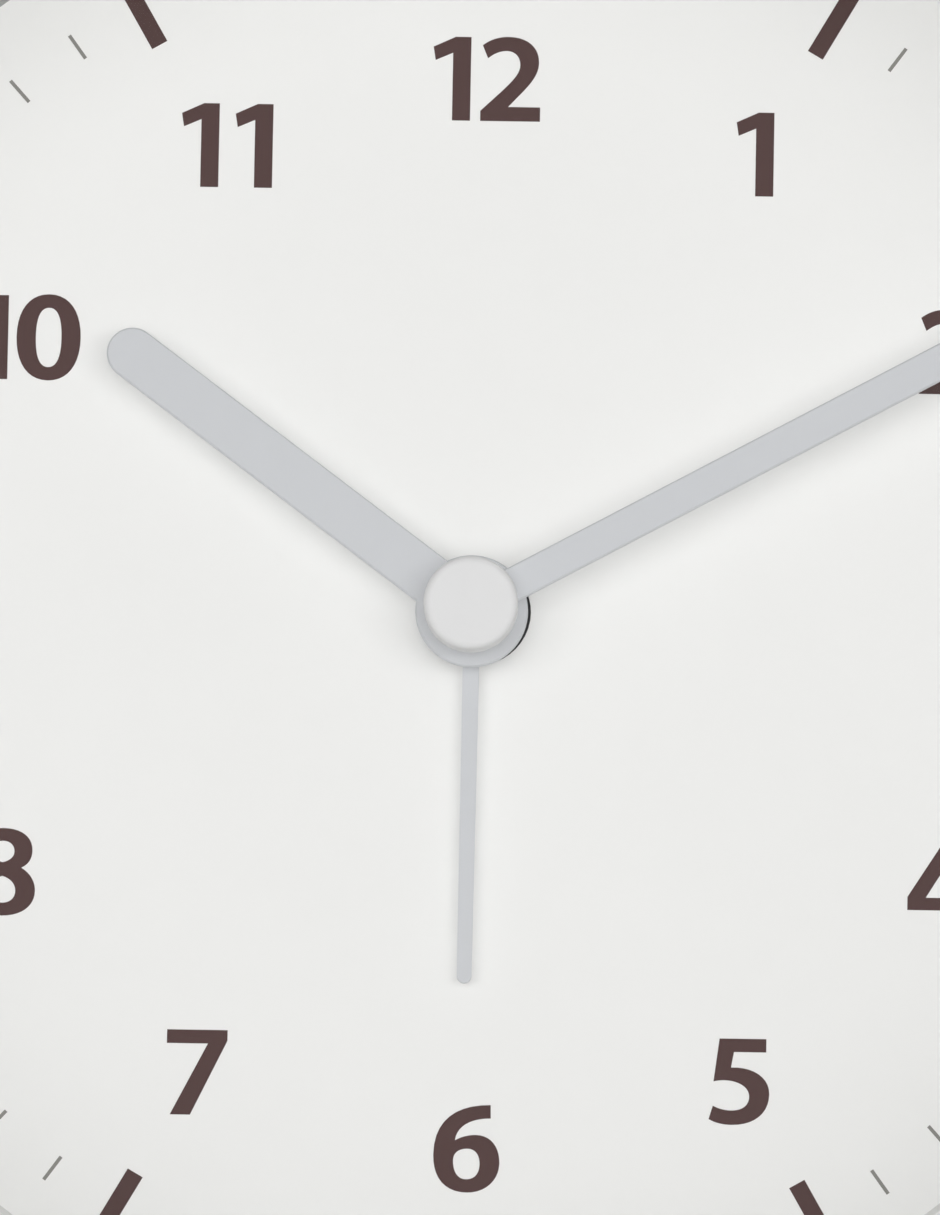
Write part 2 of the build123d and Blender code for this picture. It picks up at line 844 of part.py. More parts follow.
# Stator plate: a bar round the rotor with two legs to the coil
leg_across = stator_half_width - stator_leg / 2
leg_low = rotor_place[1]
leg_high = coil_up + stator_leg / 2
leg_height = leg_high - leg_low
leg_middle = (leg_low + leg_high) / 2
with BuildPart() as stator:
    block(2 * stator_half_width, 2 * stator_half_height, stator_back, stator_front, 0, rotor_place[1])
    for side in (-1, 1):
        block(stator_leg, leg_height, stator_back, stator_front, side * leg_across, leg_middle)
    rod(stator_bore, stator_back, stator_front, *rotor_place, mode=Mode.SUBTRACT)
finish(stator, "stator")

# Coil core across the stator's legs, with its bobbin and winding
core_back = stator_back - stator_thickness
core_fore = (core_back + stator_back) / 2
with BuildPart() as coil_core:
    block(2 * stator_half_width, core_width, core_back, stator_back, 0, coil_up)
finish(coil_core, "coil_core")

with BuildPart() as coil_bobbin:
    axle(bobbin_core_radius, -coil_length / 2, coil_length / 2, coil_up, core_fore)
    for end in (-coil_length / 2, coil_length / 2 - bobbin_flange):
        axle(coil_radius, end, end + bobbin_flange, coil_up, core_fore)
    block(coil_length, core_width, core_back, stator_back, 0, coil_up, mode=Mode.SUBTRACT)
finish(coil_bobbin, "coil_bobbin")

with BuildPart() as coil_winding:
    half_winding = coil_length / 2 - bobbin_flange
    axle(coil_radius - bobbin_flange / 2, -half_winding, half_winding, coil_up, core_fore)
    axle(bobbin_core_radius, -half_winding, half_winding, coil_up, core_fore, Mode.SUBTRACT)
finish(coil_winding, "coil_winding")

# Front half of the movement: walls, bush, pivots, motor posts, screw posts and lugs
board_screw_across = movement_width / 2 - board_screw_inset
board_screw_up = movement_top - board_screw_inset
board_screw_places = [(side * board_screw_across, board_screw_up) for side in (-1, 1)]
train_places = (motion_place, alarm_place, third_place, rotor_place)
front_pivot_end = cavity_front + pivot_depth + nest_gap
rear_pivot_end = cavity_back - pivot_depth - nest_gap
with BuildPart() as movement_front:
    block(movement_width, movement_height, cavity_back, carrier_back, 0, movement_middle, movement_corner)
    block(
        movement_width - 2 * plate_thickness,
        movement_height - 2 * plate_thickness,
        cavity_back,
        cavity_front,
        0,
        movement_middle,
        movement_corner - plate_thickness,
        Mode.SUBTRACT,
    )
    rod(bush_radius, cavity_front, bush_front)
    rod(bush_bore, cavity_front, bush_front, mode=Mode.SUBTRACT)
    for across, up in train_places:
        rod(pivot_radius + running_gap, cavity_front, front_pivot_end, across, up, Mode.SUBTRACT)
    for side in (-1, 1):
        rod(motor_post_radius, stator_front, cavity_front, side * leg_across, coil_up)
    for across, up in board_screw_places:
        rod(small_head_radius, cavity_back, cavity_front, across, up)
        rod(small_screw_radius, cavity_back, cavity_back + small_screw_grip, across, up, mode=Mode.SUBTRACT)
    for across, up in lug_places:
        inward = movement_width / 2 - plate_thickness / 2
        reach = abs(across) - inward
        middle = (inward + reach / 2) * (1 if across > 0 else -1)
        block(reach, 2 * lug_radius, lug_seat - lug_thickness, lug_seat, middle, up)
        rod(lug_radius, lug_seat - lug_thickness, lug_seat, across, up)
        rod(small_screw_radius + nest_gap, lug_seat - lug_thickness, lug_seat, across, up, mode=Mode.SUBTRACT)
finish(movement_front, "movement_front")

with BuildPart() as movement_screws:
    for across, up in lug_places:
        seat = lug_seat - lug_thickness
        rod(small_head_radius, seat - small_head_height, seat, across, up)
        rod(small_screw_radius, seat, lug_seat + small_screw_grip, across, up)
finish(movement_screws, "movement_screws")

# Back cover of the movement, with the rear pivots
with BuildPart() as movement_cover:
    block(movement_width, movement_height, cover_back, cavity_back, 0, movement_middle, movement_corner)
    rod(minute_arbor_radius + running_gap, rear_pivot_end, cavity_back, mode=Mode.SUBTRACT)
    for across, up in (third_place, rotor_place):
        rod(pivot_radius + running_gap, rear_pivot_end, cavity_back, across, up, Mode.SUBTRACT)
    for across, up in (motion_place, alarm_place):
        rod(stem_radius + running_gap, cover_back, cavity_back, across, up, mode=Mode.SUBTRACT)
    for across, up in board_screw_places:
        rod(small_screw_radius + nest_gap, cover_back, cavity_back, across, up, mode=Mode.SUBTRACT)
finish(movement_cover, "movement_cover")

# Circuit board on the back cover, with its chip and crystal
with BuildPart() as circuit_board:
    board_width = movement_width - 2 * board_margin
    board_height = movement_height - 2 * board_margin
    block(board_width, board_height, board_back, cover_back, 0, movement_middle)
    for across, up in (motion_place, alarm_place):
        rod(stem_radius + slide_gap, board_back, cover_back, across, up, mode=Mode.SUBTRACT)
    for across, up in board_screw_places:
        rod(small_screw_radius + nest_gap, board_back, cover_back, across, up, mode=Mode.SUBTRACT)
finish(circuit_board, "circuit_board")

with BuildPart() as board_screws:
    for across, up in board_screw_places:
        rod(small_head_radius, board_back - small_head_height, board_back, across, up)
        rod(small_screw_radius, board_back, cavity_back + small_screw_grip, across, up)
finish(board_screws, "board_screws")

with BuildPart() as chip:
    rod(chip_radius, board_back - chip_height, board_back, chip_across, chip_up)
    fillet(chip.edges().group_by(spindle())[0], radius=chip_round)
finish(chip, "chip")

with BuildPart() as crystal:
    crystal_left = crystal_across - crystal_length / 2
    axle(crystal_radius, crystal_left, crystal_left + crystal_length, crystal_up, board_back - crystal_radius)
finish(crystal, "crystal")

# Piezo buzzer: brass disc and ceramic
ceramic_front = buzzer_front + ceramic_thickness
with BuildPart() as buzzer_plate:
    rod(buzzer_radius, buzzer_back, buzzer_front, 0, buzzer_up)
finish(buzzer_plate, "buzzer_plate")

with BuildPart() as buzzer_ceramic:
    rod(ceramic_radius, buzzer_front, ceramic_front, 0, buzzer_up)
finish(buzzer_ceramic, "buzzer_ceramic")


# Fluted knobs on the setting stems
def knob(across, up):
    """Round knob with a rounded rim and flutes, bored for its stem."""
    knob_back = knob_seat - knob_height
    rim = knob_radius - knob_round
    with BuildSketch(section_plane(across, up)) as profile:
        with BuildLine():
            Polyline((rim, knob_back), (0, knob_back), (0, knob_seat), (knob_radius, knob_seat))
            Line((knob_radius, knob_seat), (knob_radius, knob_back + knob_round))
            RadiusArc((knob_radius, knob_back + knob_round), (rim, knob_back), knob_round)
        make_face()
    revolve(profile.sketch, axis=spindle(across, up))
    with BuildSketch(face_plane(knob_back, across, up)) as flutes:
        with PolarLocations(knob_radius, flute_count):
            Circle(flute_radius)
    extrude(flutes.sketch, amount=knob_height, mode=Mode.SUBTRACT)
    rod(stem_radius, stem_back, knob_seat, across, up, mode=Mode.SUBTRACT)


with BuildPart() as time_knob:
    knob(*motion_place)
finish(time_knob, "time_knob")

with BuildPart() as alarm_knob:
    knob(*alarm_place)
finish(alarm_knob, "alarm_knob")

# Alarm switch: thumb piece, neck, flange inside the wall and a lever to the board
switch_across = -switch_travel / 2
with BuildPart() as alarm_slider:
    thumb_front = -case_depth - thumb_stand_off
    flange_back = back_inside + thumb_stand_off
    lever_front = board_back - running_gap - wiper_thickness
    block(thumb_width, thumb_height, thumb_front - thumb_proud, thumb_front, switch_across, switch_up)
    block(neck_width, neck_height, thumb_front, flange_back, switch_across, switch_up)
    block(
        neck_width + 2 * flange_margin,
        neck_height + 2 * flange_margin,
        flange_back,
        flange_back + flange_thickness,
        switch_across,
        switch_up,
    )
    block(neck_height, neck_height, flange_back + flange_thickness, lever_front, switch_across, switch_up)
finish(alarm_slider, "alarm_slider")

with BuildPart() as slider_wiper:
    block(wiper_width, neck_height, lever_front, lever_front + wiper_thickness, switch_across, switch_up)
finish(slider_wiper, "slider_wiper")

# One AA cell
cell_left = cell_middle - cell_length / 2
cell_right = cell_middle + cell_length / 2
with BuildPart() as battery_cell:
    axle(cell_radius, cell_left, cell_right - cell_nub_length, bay_up, cell_fore)
    chamfer(battery_cell.edges(), length=cell_edge)
    axle(cell_nub_radius, cell_right - cell_nub_length, cell_right, bay_up, cell_fore)
finish(battery_cell, "battery_cell")


# Battery contacts: plates with tails through the bay's upper wall
def contact_plate(side):
    """Plate against one end wall of the bay, with its soldering tail."""
    across = side * contact_across
    block(
        contact_thickness,
        contact_height,
        cell_fore - contact_width / 2,
        cell_fore + contact_width / 2,
        across,
        bay_up,
    )
    tail_start = bay_up + contact_height / 2
    block(
        contact_thickness,
        tail_end - tail_start,
        cell_fore - tail_width / 2,
        cell_fore + tail_width / 2,
        across,
        (tail_start + tail_end) / 2,
    )


with BuildPart() as contact_positive:
    contact_plate(1)
    axle(dimple_radius, cell_right, bay_length / 2 - contact_thickness, bay_up, cell_fore)
finish(contact_positive, "contact_positive")

with BuildPart() as contact_negative:
    contact_plate(-1)
    plate_face = contact_thickness - bay_length / 2
    with BuildSketch(face_plane(cell_fore - spring_width / 2, 0, bay_up)) as leaf:
        with BuildLine():
            crest = cell_left - spring_strip / 2
            Polyline(
                (plate_face, contact_height / 2 - spring_strip),
                (crest, spring_crest / 2),
                (crest, -spring_crest / 2),
                (plate_face + spring_strip, -contact_height / 2 + spring_strip),
            )
        trace(line_width=spring_strip)
    extrude(leaf.sketch, amount=spring_width)
finish(contact_negative, "contact_negative")

# Battery door with a skirt inside the bay and grip ribs
with BuildPart() as battery_door:
    block(
        door_length - 2 * nest_gap,
        door_height - 2 * nest_gap,
        -case_depth,
        door_inside,
        0,
        bay_up,
        door_corner - nest_gap,
    )
    skirt_length = bay_length - 2 * slide_gap
    skirt_height = bay_height - 2 * slide_gap
    skirt_front = back_inside + door_skirt_depth
    block(skirt_length, skirt_height, door_inside, skirt_front, 0, bay_up)
    block(
        skirt_length - 2 * door_skirt,
        skirt_height - 2 * door_skirt,
        door_inside,
        skirt_front,
        0,
        bay_up,
        mode=Mode.SUBTRACT,
    )
    for number in range(grip_count):
        rib_up = bay_up + door_height / 2 - (number + 1.5) * grip_pitch
        block(grip_width, grip_pitch / 2, -case_depth - grip_proud, -case_depth, 0, rib_up)
finish(battery_door, "battery_door")

# Snooze bar set into the top of the case, its flange inside the wall
with BuildPart() as snooze_button:
    flange_outer = case_bore - slide_gap
    flange_inner = flange_outer - snooze_flange_thickness
    with BuildSketch(face_plane(snooze_back)) as bar:
        Circle(case_radius + snooze_proud)
        Circle(flange_inner, mode=Mode.SUBTRACT)
        with Locations((0, case_radius)):
            Rectangle(snooze_width, case_radius, mode=Mode.INTERSECT)
    extrude(bar.sketch, amount=snooze_depth)
    outer_edges = snooze_button.faces().sort_by(Axis(HEAD, UP))[-1].edges()
    fillet(outer_edges, radius=snooze_round)
    with BuildSketch(face_plane(snooze_back - snooze_flange)) as flange:
        Circle(flange_outer)
        Circle(flange_inner, mode=Mode.SUBTRACT)
        with Locations((0, case_radius)):
            Rectangle(snooze_width + 2 * snooze_flange, case_radius, mode=Mode.INTERSECT)
    extrude(flange.sketch, amount=snooze_depth + 2 * snooze_flange)
    leaf_top = leaf_foot + leaf_rise
    block(
        snooze_stem_width,
        flange_outer - leaf_top - running_gap,
        -snooze_middle - snooze_stem_width / 2,
        -snooze_middle + snooze_stem_width / 2,
        0,
        (flange_outer + leaf_top + running_gap) / 2,
    )
finish(snooze_button, "snooze_button")

# Bowed leaf that returns the snooze bar, and the contact stud below it
with BuildPart() as snooze_spring:
    half_span = leaf_span / 2
    with BuildSketch(face_plane(-snooze_middle - leaf_width / 2)) as bow:
        with BuildLine():
            ThreePointArc(
                (-half_span, leaf_foot), (0, leaf_foot + leaf_rise - leaf_thickness), (half_span, leaf_foot)
            )
            Line((half_span, leaf_foot), (half_span, leaf_foot + leaf_thickness))
            ThreePointArc(
                (half_span, leaf_foot + leaf_thickness),
                (0, leaf_foot + leaf_rise),
                (-half_span, leaf_foot + leaf_thickness),
            )
            Line((-half_span, leaf_foot + leaf_thickness), (-half_span, leaf_foot))
        make_face()
    extrude(bow.sketch, amount=leaf_width)
finish(snooze_spring, "snooze_spring")

with BuildPart() as snooze_contact:
    post(stud_radius, stud_seat, stud_seat + stud_height, 0, -snooze_middle)
finish(snooze_contact, "snooze_contact")


# Leads soldered to the board
def lead(points):
    """Round lead along straight runs with rounded corners, through points across, up and forward."""
    with BuildLine(Plane.XY) as route:
        FilletPolyline(*[spot(*point) for point in points], radius=lead_bend)
    with BuildSketch(Plane(origin=route.line @ 0, z_dir=route.line % 0)) as outline:
        Circle(lead_radius)
    sweep(outline.sketch, path=route.line)


lead_fore = board_back - lead_stand_off


def battery_lead(side):
    """Route from a contact's tail to the board."""
    return (
        (side * contact_across, tail_end, cell_fore),
        (side * contact_across, tail_end + lead_rise, lead_fore),
        (side * lead_pad_across, lead_pad_up, lead_fore),
        (side * lead_pad_across, lead_pad_up, board_back),
    )


with BuildPart() as lead_positive:
    lead(battery_lead(1))
finish(lead_positive, "lead_positive")

with BuildPart() as lead_negative:
    lead(battery_lead(-1))
finish(lead_negative, "lead_negative")

with BuildPart() as buzzer_leads:
    for side in (-1, 1):
        start = (side * buzzer_lead_spread, buzzer_up - buzzer_lead_drop)
        end = (side * buzzer_pad_across, buzzer_pad_up)
        lead(((*start, ceramic_front), (*start, lead_fore), (*end, lead_fore), (*end, board_back)))
finish(buzzer_leads, "buzzer_leads")
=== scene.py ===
import json
from math import pi, radians

import bmesh
import bpy
from mathutils import Matrix, Vector


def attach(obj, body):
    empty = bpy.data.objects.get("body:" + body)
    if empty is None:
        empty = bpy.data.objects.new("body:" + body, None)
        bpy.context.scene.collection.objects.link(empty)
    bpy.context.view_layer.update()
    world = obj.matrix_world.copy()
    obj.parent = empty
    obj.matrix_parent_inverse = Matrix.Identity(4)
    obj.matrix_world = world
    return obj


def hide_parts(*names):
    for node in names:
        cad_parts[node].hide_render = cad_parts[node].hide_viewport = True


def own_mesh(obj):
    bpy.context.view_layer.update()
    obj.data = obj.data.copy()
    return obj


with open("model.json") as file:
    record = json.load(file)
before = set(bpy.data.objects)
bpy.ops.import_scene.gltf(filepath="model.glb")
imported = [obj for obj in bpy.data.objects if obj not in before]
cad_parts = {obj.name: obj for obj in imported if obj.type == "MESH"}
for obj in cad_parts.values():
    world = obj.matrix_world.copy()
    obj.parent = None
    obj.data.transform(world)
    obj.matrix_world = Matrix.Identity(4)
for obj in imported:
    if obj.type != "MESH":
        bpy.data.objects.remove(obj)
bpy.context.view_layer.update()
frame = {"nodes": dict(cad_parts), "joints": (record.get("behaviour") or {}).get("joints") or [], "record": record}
mm = 0.001

# The head's own axes, from the joint that carries the minute hand. The hub lies on the dial's printed face
hub_joint = next(joint for joint in frame["joints"] if joint["name"] == "minute_turn")
HUB = Vector(hub_joint["pos_m"])
FRONT = -Vector(hub_joint["axis"])
ACROSS = Vector((1, 0, 0))
UP = FRONT.cross(ACROSS)
head = Matrix.Translation(HUB) @ Matrix((ACROSS, UP, FRONT)).transposed().to_4x4()

# Dial print, in millimetres and degrees. It sits a little off the hub and a hair turned, as in the photograph
print_shift = (0.27, 0.42)
print_turn = 0.17
ink_thickness = 0.02
minutes, hours = 60, 12
tick_inner, tick_outer, tick_width = 44.3, 46.15, 0.23
bar_inner, bar_outer, bar_width = 42.5, 47.9, 1.12
digit_height = 5.5
curve_steps = 10

# Radius of the circle that the numerals stand on, and radius and bearing of the two that stand off it
numeral_circle = 34.9
numeral_places = {10: (34.3, -59.4), 11: (34.6, -28.95)}

# Screws. The length and width of the cutter for the cross recess and the taper of the head are shares of
# the head's radius, and the cutter's depth, half of it in the head, is a share of the head's height. Corners
# less than the spacing apart, in millimetres, belong to one screw, and past the tip share of its length it is
# all shank
recess_reach, recess_width, recess_depth = 1.24, 0.4, 1.0
head_taper = 0.84
screw_sides = 32
screw_spacing = 6.0
tip_share = 0.9
screw_seed = 7

# Leaf spring: corners nearer than this in millimetres are one, and edges sharper than this in degrees stay
# sharp
merge_distance = 0.001
crease = 30

# View of the photograph, in millimetres and degrees
view_distance = 1193.5
view_turn = 1.13
view_roll = 1.1
view_aim = (-0.17, 0.69)
view_lens = 548.1
sensor = 36.0

# Studio, in metres, degrees and watts, with brightness levels where 1 is white. Each lamp has its turn round
# the clock, its rise, width, height and power, and the pieces that it passes by. The softbox draws the soft
# shadows of the hands, and is wider than tall because they spread sideways. The two very wide fills, low in
# front, shade the dial towards the ring. The first passes the hands by, since the photograph is too bright to
# show all of the wide shade round them. A lamp that passes pieces by leaves the floor unlit too, and doesn't
# show in gloss
floor_size = 12.0
ambient_level = 0.08
backdrop_level = 0.93
floor_level = 0.45
lamp_distance = 2.5
lamps = {
    "front softbox": (1, 5, 3.8, 1.4, 39.0, ("bezel", "dial_ring")),
    "first fill": (5, -4, 9.0, 9.0, 76.0, ("alarm_hand", "hour_hand", "minute_hand", "hub_cap")),
    "second fill": (5, -4, 9.0, 9.0, 28.3, ("minute_hand",)),
    "left rear softbox": (-140, 38, 2.4, 2.4, 45.0, ()),
    "right rear softbox": (140, 38, 2.4, 2.4, 45.0, ()),
}


def linear(code):
    """Linear colour from an sRGB hex code."""
    parts = [int(code[place:place + 2], 16) / 255 for place in (1, 3, 5)]
    return [part / 12.92 if part <= 0.04045 else ((part + 0.055) / 1.055) ** 2.4 for part in parts] + [1.0]


def add(tree, kind, inputs=(), **settings):
    """Adds a node, sets its properties and gives each listed input a value or a link."""
    made = tree.nodes.new(kind)
    for name, value in settings.items():
        setattr(made, name, value)
    for name, value in dict(inputs).items():
        if isinstance(value, bpy.types.NodeSocket):
            tree.links.new(value, made.inputs[name])
        else:
            made.inputs[name].default_value = value
    return made


def surface(name):
    """New material, and its node tree, still empty."""
    made = bpy.data.materials.new(name)
    made.use_nodes = True
    made.node_tree.nodes.clear()
    return made, made.node_tree


def shaded(tree, inputs):
    """Ends a material's node tree in its shader, with a value or a link for each listed input."""
    shader = add(tree, "ShaderNodeBsdfPrincipled", inputs)
    add(tree, "ShaderNodeOutputMaterial", {"Surface": shader.outputs["BSDF"]})


def per_metre(size):
    """Texture scale for a pattern whose features are this many millimetres wide."""
    return 1 / (size * mm)


def wave_scale(pitch):
    """Wave texture scale for bands this many millimetres apart: at scale 1 they lie a tenth of pi apart."""
    return pi / 10 / (pitch * mm)


def moulded(name, colour, roughness, grain=0.35, depth=0.02, mottle=0.02, cloud=14.0, swing=0.05):
    """Moulded or sprayed skin: a fine grain that breaks the highlight, and a very faint cloudiness. The real
    grain is about a tenth as wide, too fine to show, so it is drawn coarser."""
    made, tree = surface(name)
    place = add(tree, "ShaderNodeTexCoord").outputs["Object"]
    clouds = add(tree, "ShaderNodeTexNoise", {"Vector": place, "Scale": per_metre(cloud), "Detail": 3.0})
    shade = add(tree, "ShaderNodeMapRange", {
        "Value": clouds.outputs["Fac"], "To Min": 1 - mottle, "To Max": 1.0})
    tone = add(tree, "ShaderNodeMix", {"Factor": 1.0, "A": linear(colour), "B": shade.outputs["Result"]},
               data_type="RGBA", blend_type="MULTIPLY")
    grit = add(tree, "ShaderNodeTexNoise", {"Vector": place, "Scale": per_metre(grain), "Detail": 2.0})
    gloss = add(tree, "ShaderNodeMapRange", {
        "Value": grit.outputs["Fac"], "To Min": roughness - swing, "To Max": roughness + swing})
    bump = add(tree, "ShaderNodeBump", {
        "Height": grit.outputs["Fac"], "Strength": 0.3, "Distance": depth * mm})
    shaded(tree, {
        "Base Color": tone.outputs["Result"], "Roughness": gloss.outputs["Result"],
        "Normal": bump.outputs["Normal"]})
    return made


def metal(name, dark, light, roughness, streak, stretch=(1, 1, 1), depth=0.004, swing=0.08):
    """Bare or plated metal: streaks from rolling or turning shift its tone and gloss along one direction."""
    made, tree = surface(name)
    place = add(tree, "ShaderNodeTexCoord").outputs["Object"]
    along = add(tree, "ShaderNodeMapping", {"Vector": place, "Scale": stretch}).outputs["Vector"]
    streaks = add(tree, "ShaderNodeTexNoise", {"Vector": along, "Scale": per_metre(streak), "Detail": 4.0})
    tone = add(tree, "ShaderNodeMix", {
        "Factor": streaks.outputs["Fac"], "A": linear(dark), "B": linear(light)}, data_type="RGBA")
    gloss = add(tree, "ShaderNodeMapRange", {
        "Value": streaks.outputs["Fac"], "To Min": roughness - swing, "To Max": roughness + swing})
    bump = add(tree, "ShaderNodeBump", {
        "Height": streaks.outputs["Fac"], "Strength": 0.4, "Distance": depth * mm})
    shaded(tree, {
        "Base Color": tone.outputs["Result"], "Metallic": 1.0, "Roughness": gloss.outputs["Result"],
        "Normal": bump.outputs["Normal"]})
    return made


def speckled(name, ground, fleck, roughness, size, share, depth=0.02, gain=0.12):
    """Sintered or filled material: small, smoother grains of a second tone stand a little proud."""
    made, tree = surface(name)
    place = add(tree, "ShaderNodeTexCoord").outputs["Object"]
    cells = add(tree, "ShaderNodeTexVoronoi", {"Vector": place, "Scale": per_metre(size)})
    grain = add(tree, "ShaderNodeMapRange", {
        "Value": cells.outputs["Distance"], "From Min": share, "From Max": share / 2})
    tone = add(tree, "ShaderNodeMix", {
        "Factor": grain.outputs["Result"], "A": linear(ground), "B": linear(fleck)}, data_type="RGBA")
    gloss = add(tree, "ShaderNodeMapRange", {
        "Value": grain.outputs["Result"], "To Min": roughness, "To Max": roughness - gain})
    bump = add(tree, "ShaderNodeBump", {
        "Height": grain.outputs["Result"], "Strength": 0.3, "Distance": depth * mm})
    shaded(tree, {
        "Base Color": tone.outputs["Result"], "Roughness": gloss.outputs["Result"],
        "Normal": bump.outputs["Normal"]})
    return made


def wound_wire(name, shade, painted_crest_highlight, pitch):
    """Enamelled wire wound side by side: each turn is a rounded ridge under a glossy lacquer, coloured from a
    painted shade in the valleys to a painted highlight on the crest. The real wire is about 0.05 mm thick, so it
    is drawn coarser to show."""
    made, tree = surface(name)
    place = add(tree, "ShaderNodeTexCoord").outputs["Object"]
    turns = add(tree, "ShaderNodeTexWave", {
        "Vector": place, "Scale": wave_scale(pitch), "Distortion": 0.6, "Detail": 1.0}, bands_direction="X")
    # Painted shade in the valleys between turns, and a painted highlight on each crest
    tone = add(tree, "ShaderNodeMix", {
        "Factor": turns.outputs["Fac"], "A": linear(shade), "B": linear(painted_crest_highlight)}, data_type="RGBA")
    gloss = add(tree, "ShaderNodeMapRange", {"Value": turns.outputs["Fac"], "To Min": 0.45, "To Max": 0.28})
    bump = add(tree, "ShaderNodeBump", {
        "Height": turns.outputs["Fac"], "Strength": 0.8, "Distance": pitch / 3 * mm})
    shaded(tree, {
        "Base Color": tone.outputs["Result"], "Metallic": 1.0, "Roughness": gloss.outputs["Result"],
        "Normal": bump.outputs["Normal"], "Coat Weight": 0.6, "Coat Roughness": 0.15})
    return made


def masked_board(name, low, high, thread, depth=0.02):
    """Solder mask over woven glass cloth: the crossing threads show as a faint grid through the glossy green.
    They are drawn about twice as far apart as the real ones, to show."""
    made, tree = surface(name)
    place = add(tree, "ShaderNodeTexCoord").outputs["Object"]
    warp, weft = (
        add(tree, "ShaderNodeTexWave", {"Vector": place, "Scale": wave_scale(thread)}, bands_direction=way)
        for way in ("X", "Z")
    )
    cloth = add(tree, "ShaderNodeMath", {0: warp.outputs["Fac"], 1: weft.outputs["Fac"]},
                operation="MULTIPLY")
    tone = add(tree, "ShaderNodeMix", {
        "Factor": cloth.outputs[0], "A": linear(low), "B": linear(high)}, data_type="RGBA")
    gloss = add(tree, "ShaderNodeMapRange", {"Value": cloth.outputs[0], "To Min": 0.38, "To Max": 0.28})
    bump = add(tree, "ShaderNodeBump", {
        "Height": cloth.outputs[0], "Strength": 0.2, "Distance": depth * mm})
    shaded(tree, {
        "Base Color": tone.outputs["Result"], "Roughness": gloss.outputs["Result"],
        "Normal": bump.outputs["Normal"]})
    return made


def cell_jacket(name, jacket, can, rim, grain=0.5):
    """Shrunk plastic jacket of a plain dry cell. The bright steel of can and button is bare at both ends."""
    made, tree = surface(name)
    place = add(tree, "ShaderNodeTexCoord").outputs["Object"]
    lengthwise = [vertex.co.x for vertex in frame["nodes"]["battery_cell"].data.vertices]
    middle = (min(lengthwise) + max(lengthwise)) / 2
    reach = (max(lengthwise) - min(lengthwise)) / 2 - rim * mm
    offset = add(tree, "ShaderNodeMapping", {"Vector": place, "Location": (-middle, 0, 0)}).outputs["Vector"]
    along = add(tree, "ShaderNodeSeparateXYZ", {"Vector": offset}).outputs["X"]
    far = add(tree, "ShaderNodeMath", {0: along}, operation="ABSOLUTE")
    bare = add(tree, "ShaderNodeMath", {0: far.outputs[0], 1: reach}, operation="GREATER_THAN")
    tone = add(tree, "ShaderNodeMix", {
        "Factor": bare.outputs[0], "A": linear(jacket), "B": linear(can)}, data_type="RGBA")
    grit = add(tree, "ShaderNodeTexNoise", {"Vector": place, "Scale": per_metre(grain), "Detail": 2.0})
    gloss = add(tree, "ShaderNodeMapRange", {"Value": grit.outputs["Fac"], "To Min": 0.22, "To Max": 0.36})
    shaded(tree, {
        "Base Color": tone.outputs["Result"], "Metallic": bare.outputs[0],
        "Roughness": gloss.outputs["Result"]})
    return made


def clear_glass(name, ior):
    """Flat float glass: seen straight through, with a weak reflection on its outer side that grows where the
    glass is seen at a slant."""
    made, tree = surface(name)
    clear = add(tree, "ShaderNodeBsdfTransparent", {"Color": linear("#FFFFFF")})
    mirror = add(tree, "ShaderNodeBsdfGlossy", {"Color": linear("#FFFFFF"), "Roughness": 0.02})
    share = add(tree, "ShaderNodeFresnel", {"IOR": ior})
    leaving = add(tree, "ShaderNodeNewGeometry").outputs["Backfacing"]
    outer = add(tree, "ShaderNodeMath", {0: 1.0, 1: leaving}, operation="SUBTRACT")
    entry = add(tree, "ShaderNodeMath", {0: share.outputs[0], 1: outer.outputs[0]}, operation="MULTIPLY")
    both = add(tree, "ShaderNodeMixShader", {
        0: entry.outputs[0], 1: clear.outputs[0], 2: mirror.outputs[0]})
    add(tree, "ShaderNodeOutputMaterial", {"Surface": both.outputs["Shader"]})
    return made


